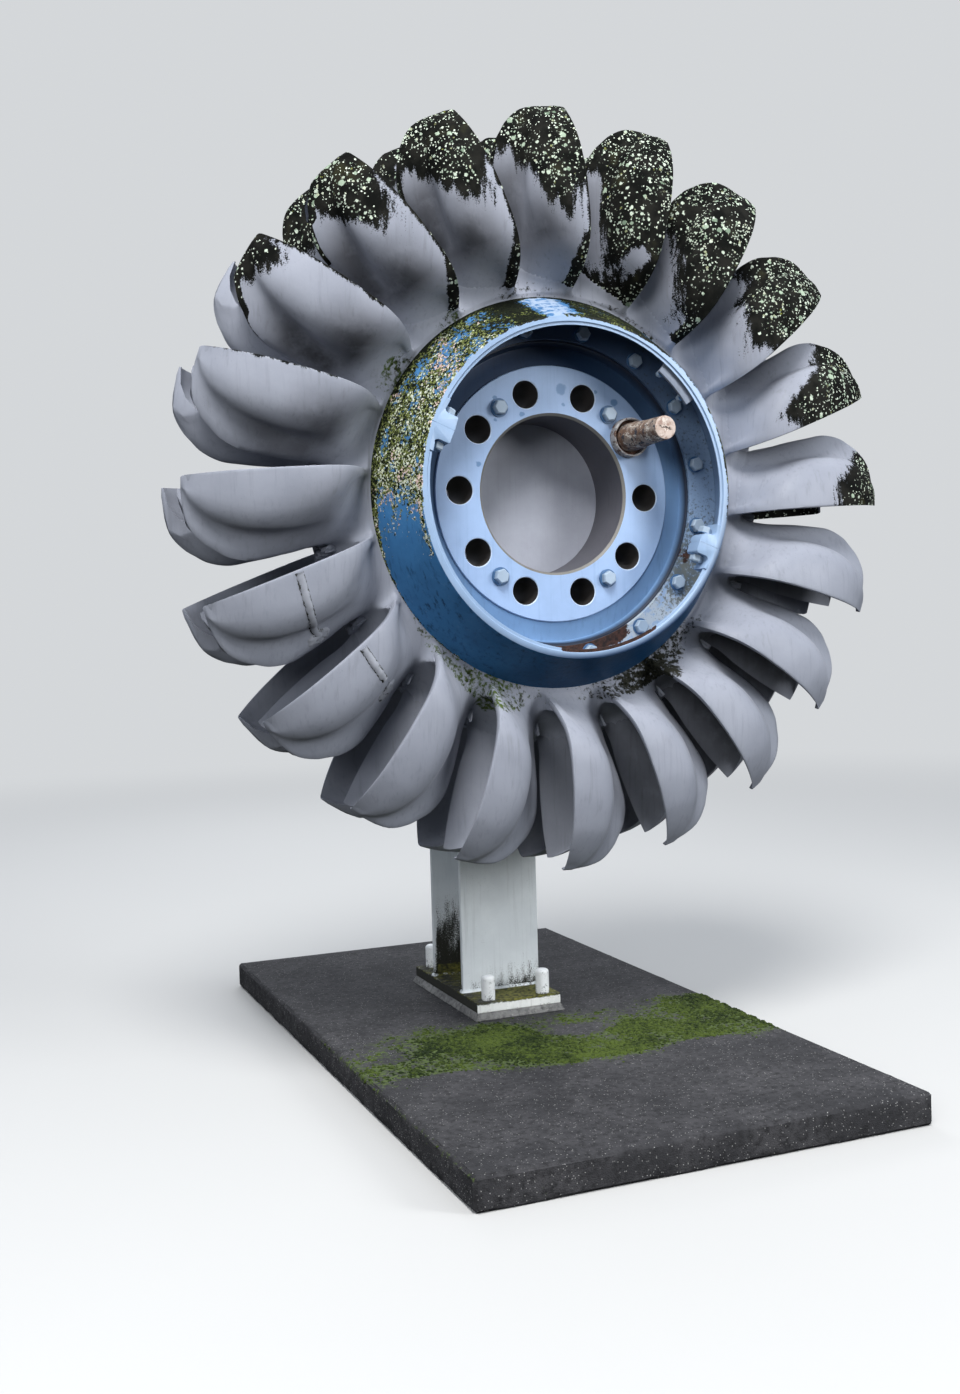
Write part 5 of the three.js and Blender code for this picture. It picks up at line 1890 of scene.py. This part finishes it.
def cushion_tree(material):
    tree, given = geometry_group("moss cushions", "Ground", CUSHION_SIZES, "Cushions")
    place = add(tree, "GeometryNodeInputPosition")
    clumps = grain(tree, 55.0, 5.0, 0.65, place) * 0.75 + grain(tree, 12.0, 4.0, 0.55, place) * 0.25
    wanted = clumps + add(tree, "GeometryNodeInputNamedAttribute", {"Name": "moss"}, data_type="FLOAT")
    chance = add(tree, "ShaderNodeMapRange", {0: wanted, 1: given["Needed"], 2: given["Needed"] + 0.18})
    chance = chance * chance
    scattered = add(tree, "GeometryNodeDistributePointsOnFaces", {
        "Mesh": given["Ground"], "Density": chance * given["Density"], "Seed": given["Seed"]})
    lump = add(tree, "GeometryNodeMeshUVSphere", {"Segments": 6, "Rings": 4, "Radius": 1.0})
    uneven = add(tree, "ShaderNodeTexNoise", {"Vector": place, "Scale": 1.6, "Detail": 2.0})["Color"]
    pushed = add(tree, "ShaderNodeVectorMath", {0: uneven, 1: (0.5, 0.5, 0.5)}, operation="SUBTRACT")
    pushed = add(tree, "ShaderNodeVectorMath", {0: pushed, "Scale": 1.6}, operation="SCALE")
    lump = add(tree, "GeometryNodeSetPosition", {"Geometry": lump, "Offset": pushed})
    size = add(tree, "FunctionNodeRandomValue", {2: given["Smallest"], 3: given["Largest"], "Seed": 7})[1]
    size = size * (chance * 0.5 + 0.5)
    placed = add(tree, "GeometryNodeInstanceOnPoints", {
        "Points": scattered, "Instance": lump, "Rotation": spun(tree, scattered["Rotation"], 8),
        "Scale": add(tree, "ShaderNodeCombineXYZ", {0: size, 1: size, 2: size * given["Flatness"]}),
    })
    real = add(tree, "GeometryNodeRealizeInstances", {0: placed})
    done = add(tree, "GeometryNodeSetMaterial", {"Geometry": real, "Material": material})
    add(tree, "NodeGroupOutput", {0: done})
    return tree


def cushion_finish():
    """Leafy green that turns to soot where the ground below is not green."""
    material, tree = start_material("moss_cushion")
    patches = ramp(grain(tree, 5.0, 4.0) * 0.7 + grain(tree, 60.0, 4.0, 0.7), 0.68, 1.02)
    leafy = mix(patches, (0.008, 0.016, 0.003), (0.062, 0.090, 0.016))
    sooty = mix(ramp(grain(tree, 80.0, 4.0), 0.4, 0.7), (0.005, 0.006, 0.004), (0.025, 0.026, 0.016))
    green = ramp(grain(tree, 16.0, 3.0) + attribute(tree, "green"), 0.85, 1.15)
    relief = grain(tree, 260.0, 4.0, 0.7)
    end_material(tree, mix(green, sooty, leafy), 0.95, relief, strength=0.8, distance=0.003, specular=0.2)
    return material


CUSHIONS = cushion_tree(cushion_finish())
print("cushion nodes:", len(CUSHIONS.nodes))

# %% Grow the cushions on the disc and the pad
def only_faces(mesh, name, keep):
    """A copy of a mesh with just the faces that a test keeps, for growing things on."""
    shell = bmesh.new()
    shell.from_mesh(mesh)
    bmesh.ops.delete(shell, geom=[face for face in shell.faces if not keep(face)], context="FACES")
    ground = bpy.data.meshes.new(name)
    shell.to_mesh(ground)
    shell.free()
    return ground


def grow(name, ground, body, sizes, seed):
    """Cushions on a mesh, sized as CUSHION_SIZES lists."""
    mesh = baked(name, ground, CUSHIONS, Seed=seed, **dict(zip(CUSHION_SIZES, sizes)))
    finish_mesh(name, mesh, [], body, sharp=180, place=AS_IT_IS)
    print(name, "triangles:", triangles(mesh))


disc_ground = only_faces(runner_disc.data, "disc_ground", lambda face: face.calc_center_median().y < -0.2)
grow("disc_moss", disc_ground, "wheel", (16000.0, 1.0, 0.004, 0.010, 0.7), seed=4)
pad_ground = only_faces(pad.data, "pad_ground", lambda face: face.calc_center_median().z > 0.10)
grow("pad_moss", pad_ground, "stand", (9000.0, 0.92, 0.004, 0.014, 0.5), seed=9)

# %% [markdown]
# ## Light and floor
#
# The photograph was taken under a bright overcast sky. A large soft lamp above and in front gives that
# light in a studio, two weaker ones at the sides and one behind open the shadows, and the pale background
# fills in the rest. The floor is plain, so that nothing distracts from the wheel.

# %% Set up the studio
HORIZON = (0.66, 0.68, 0.70)
KEY_LIGHT, SIDE_LIGHT = (1.0, 0.99, 0.98), (0.96, 0.98, 1.0)


def soft_lamp(name, place, target, size, power, colour):
    data = bpy.data.lights.new(name, "AREA")
    data.shape, data.size, data.energy, data.color = "DISK", size, power, colour
    place = Vector(place)
    facing = (Vector(target) - place).to_track_quat("-Z", "Y").to_matrix().to_4x4()
    lamp = new_object(name, data)
    lamp.matrix_world = Matrix.Translation(place) @ facing
    return lamp


world = bpy.data.worlds.new("studio")
world.use_nodes = True
sky = world.node_tree
height = add(sky, "ShaderNodeSeparateXYZ", {0: add(sky, "ShaderNodeTexCoord")["Generated"]})[2]
tone = mix(ramp(height, 0.0, 0.7), (0.085, 0.09, 0.10), (0.62, 0.67, 0.76))
tone = mix(add(sky, "ShaderNodeLightPath")["Is Camera Ray"], tone, HORIZON)
background = sky.nodes["Background"]
sky.links.new(tone.socket, background.inputs["Color"])
background.inputs["Strength"].default_value = 1.0
bpy.context.scene.world = world
lamps = [
    soft_lamp("key", (-3.0, -7.0, 12.0), (0, -0.2, 2.2), 5.0, 1900, KEY_LIGHT),
    soft_lamp("right", (7.5, -8.0, 4.8), (0, 0.2, 1.4), 4.0, 760, SIDE_LIGHT),
    soft_lamp("left", (-6.5, -8.0, 4.6), (0, 0.2, 1.2), 4.0, 330, SIDE_LIGHT),
    soft_lamp("back", (2.0, 9.0, 6.5), (0, 0.2, 1.8), 5.0, 330, SIDE_LIGHT),
]

# %% [markdown]
# Close to the wheel the floor is plain pale paint, and further out it passes into the colour of the
# background, so that no horizon shows.

# %% Lay the floor
FLOOR_HALF, FADES_FROM, FADES_TO = 40, 3.5, 15.0
floor_mesh = bpy.data.meshes.new("studio_floor")
corners = [(x * FLOOR_HALF, y * FLOOR_HALF, 0) for x, y in ((-1, -1), (1, -1), (1, 1), (-1, 1))]
floor_mesh.from_pydata(corners, [], [(0, 1, 2, 3)])
floor = new_object("studio_floor", floor_mesh)
floor_paint, tree = start_material("studio_floor_paint")
shown = add(tree, "ShaderNodeLightPath")["Is Camera Ray"]
paint = principled(tree, mix(shown, (0.035, 0.035, 0.03), (0.50, 0.50, 0.49)), 0.95, specular=0.2)
away = add(tree, "ShaderNodeVectorMath", {0: on_object(tree)}, operation="LENGTH")["Value"]
glow = add(tree, "ShaderNodeEmission", {"Color": (*HORIZON, 1.0)})
blended = {0: ramp(away, FADES_FROM, FADES_TO) * shown, 1: paint, 2: glow}
add(tree, "ShaderNodeOutputMaterial", {"Surface": add(tree, "ShaderNodeMixShader", blended)})
floor_mesh.materials.append(floor_paint)
bpy.context.scene.view_settings.view_transform = "Standard"
print("lamps:", [lamp.name for lamp in lamps])
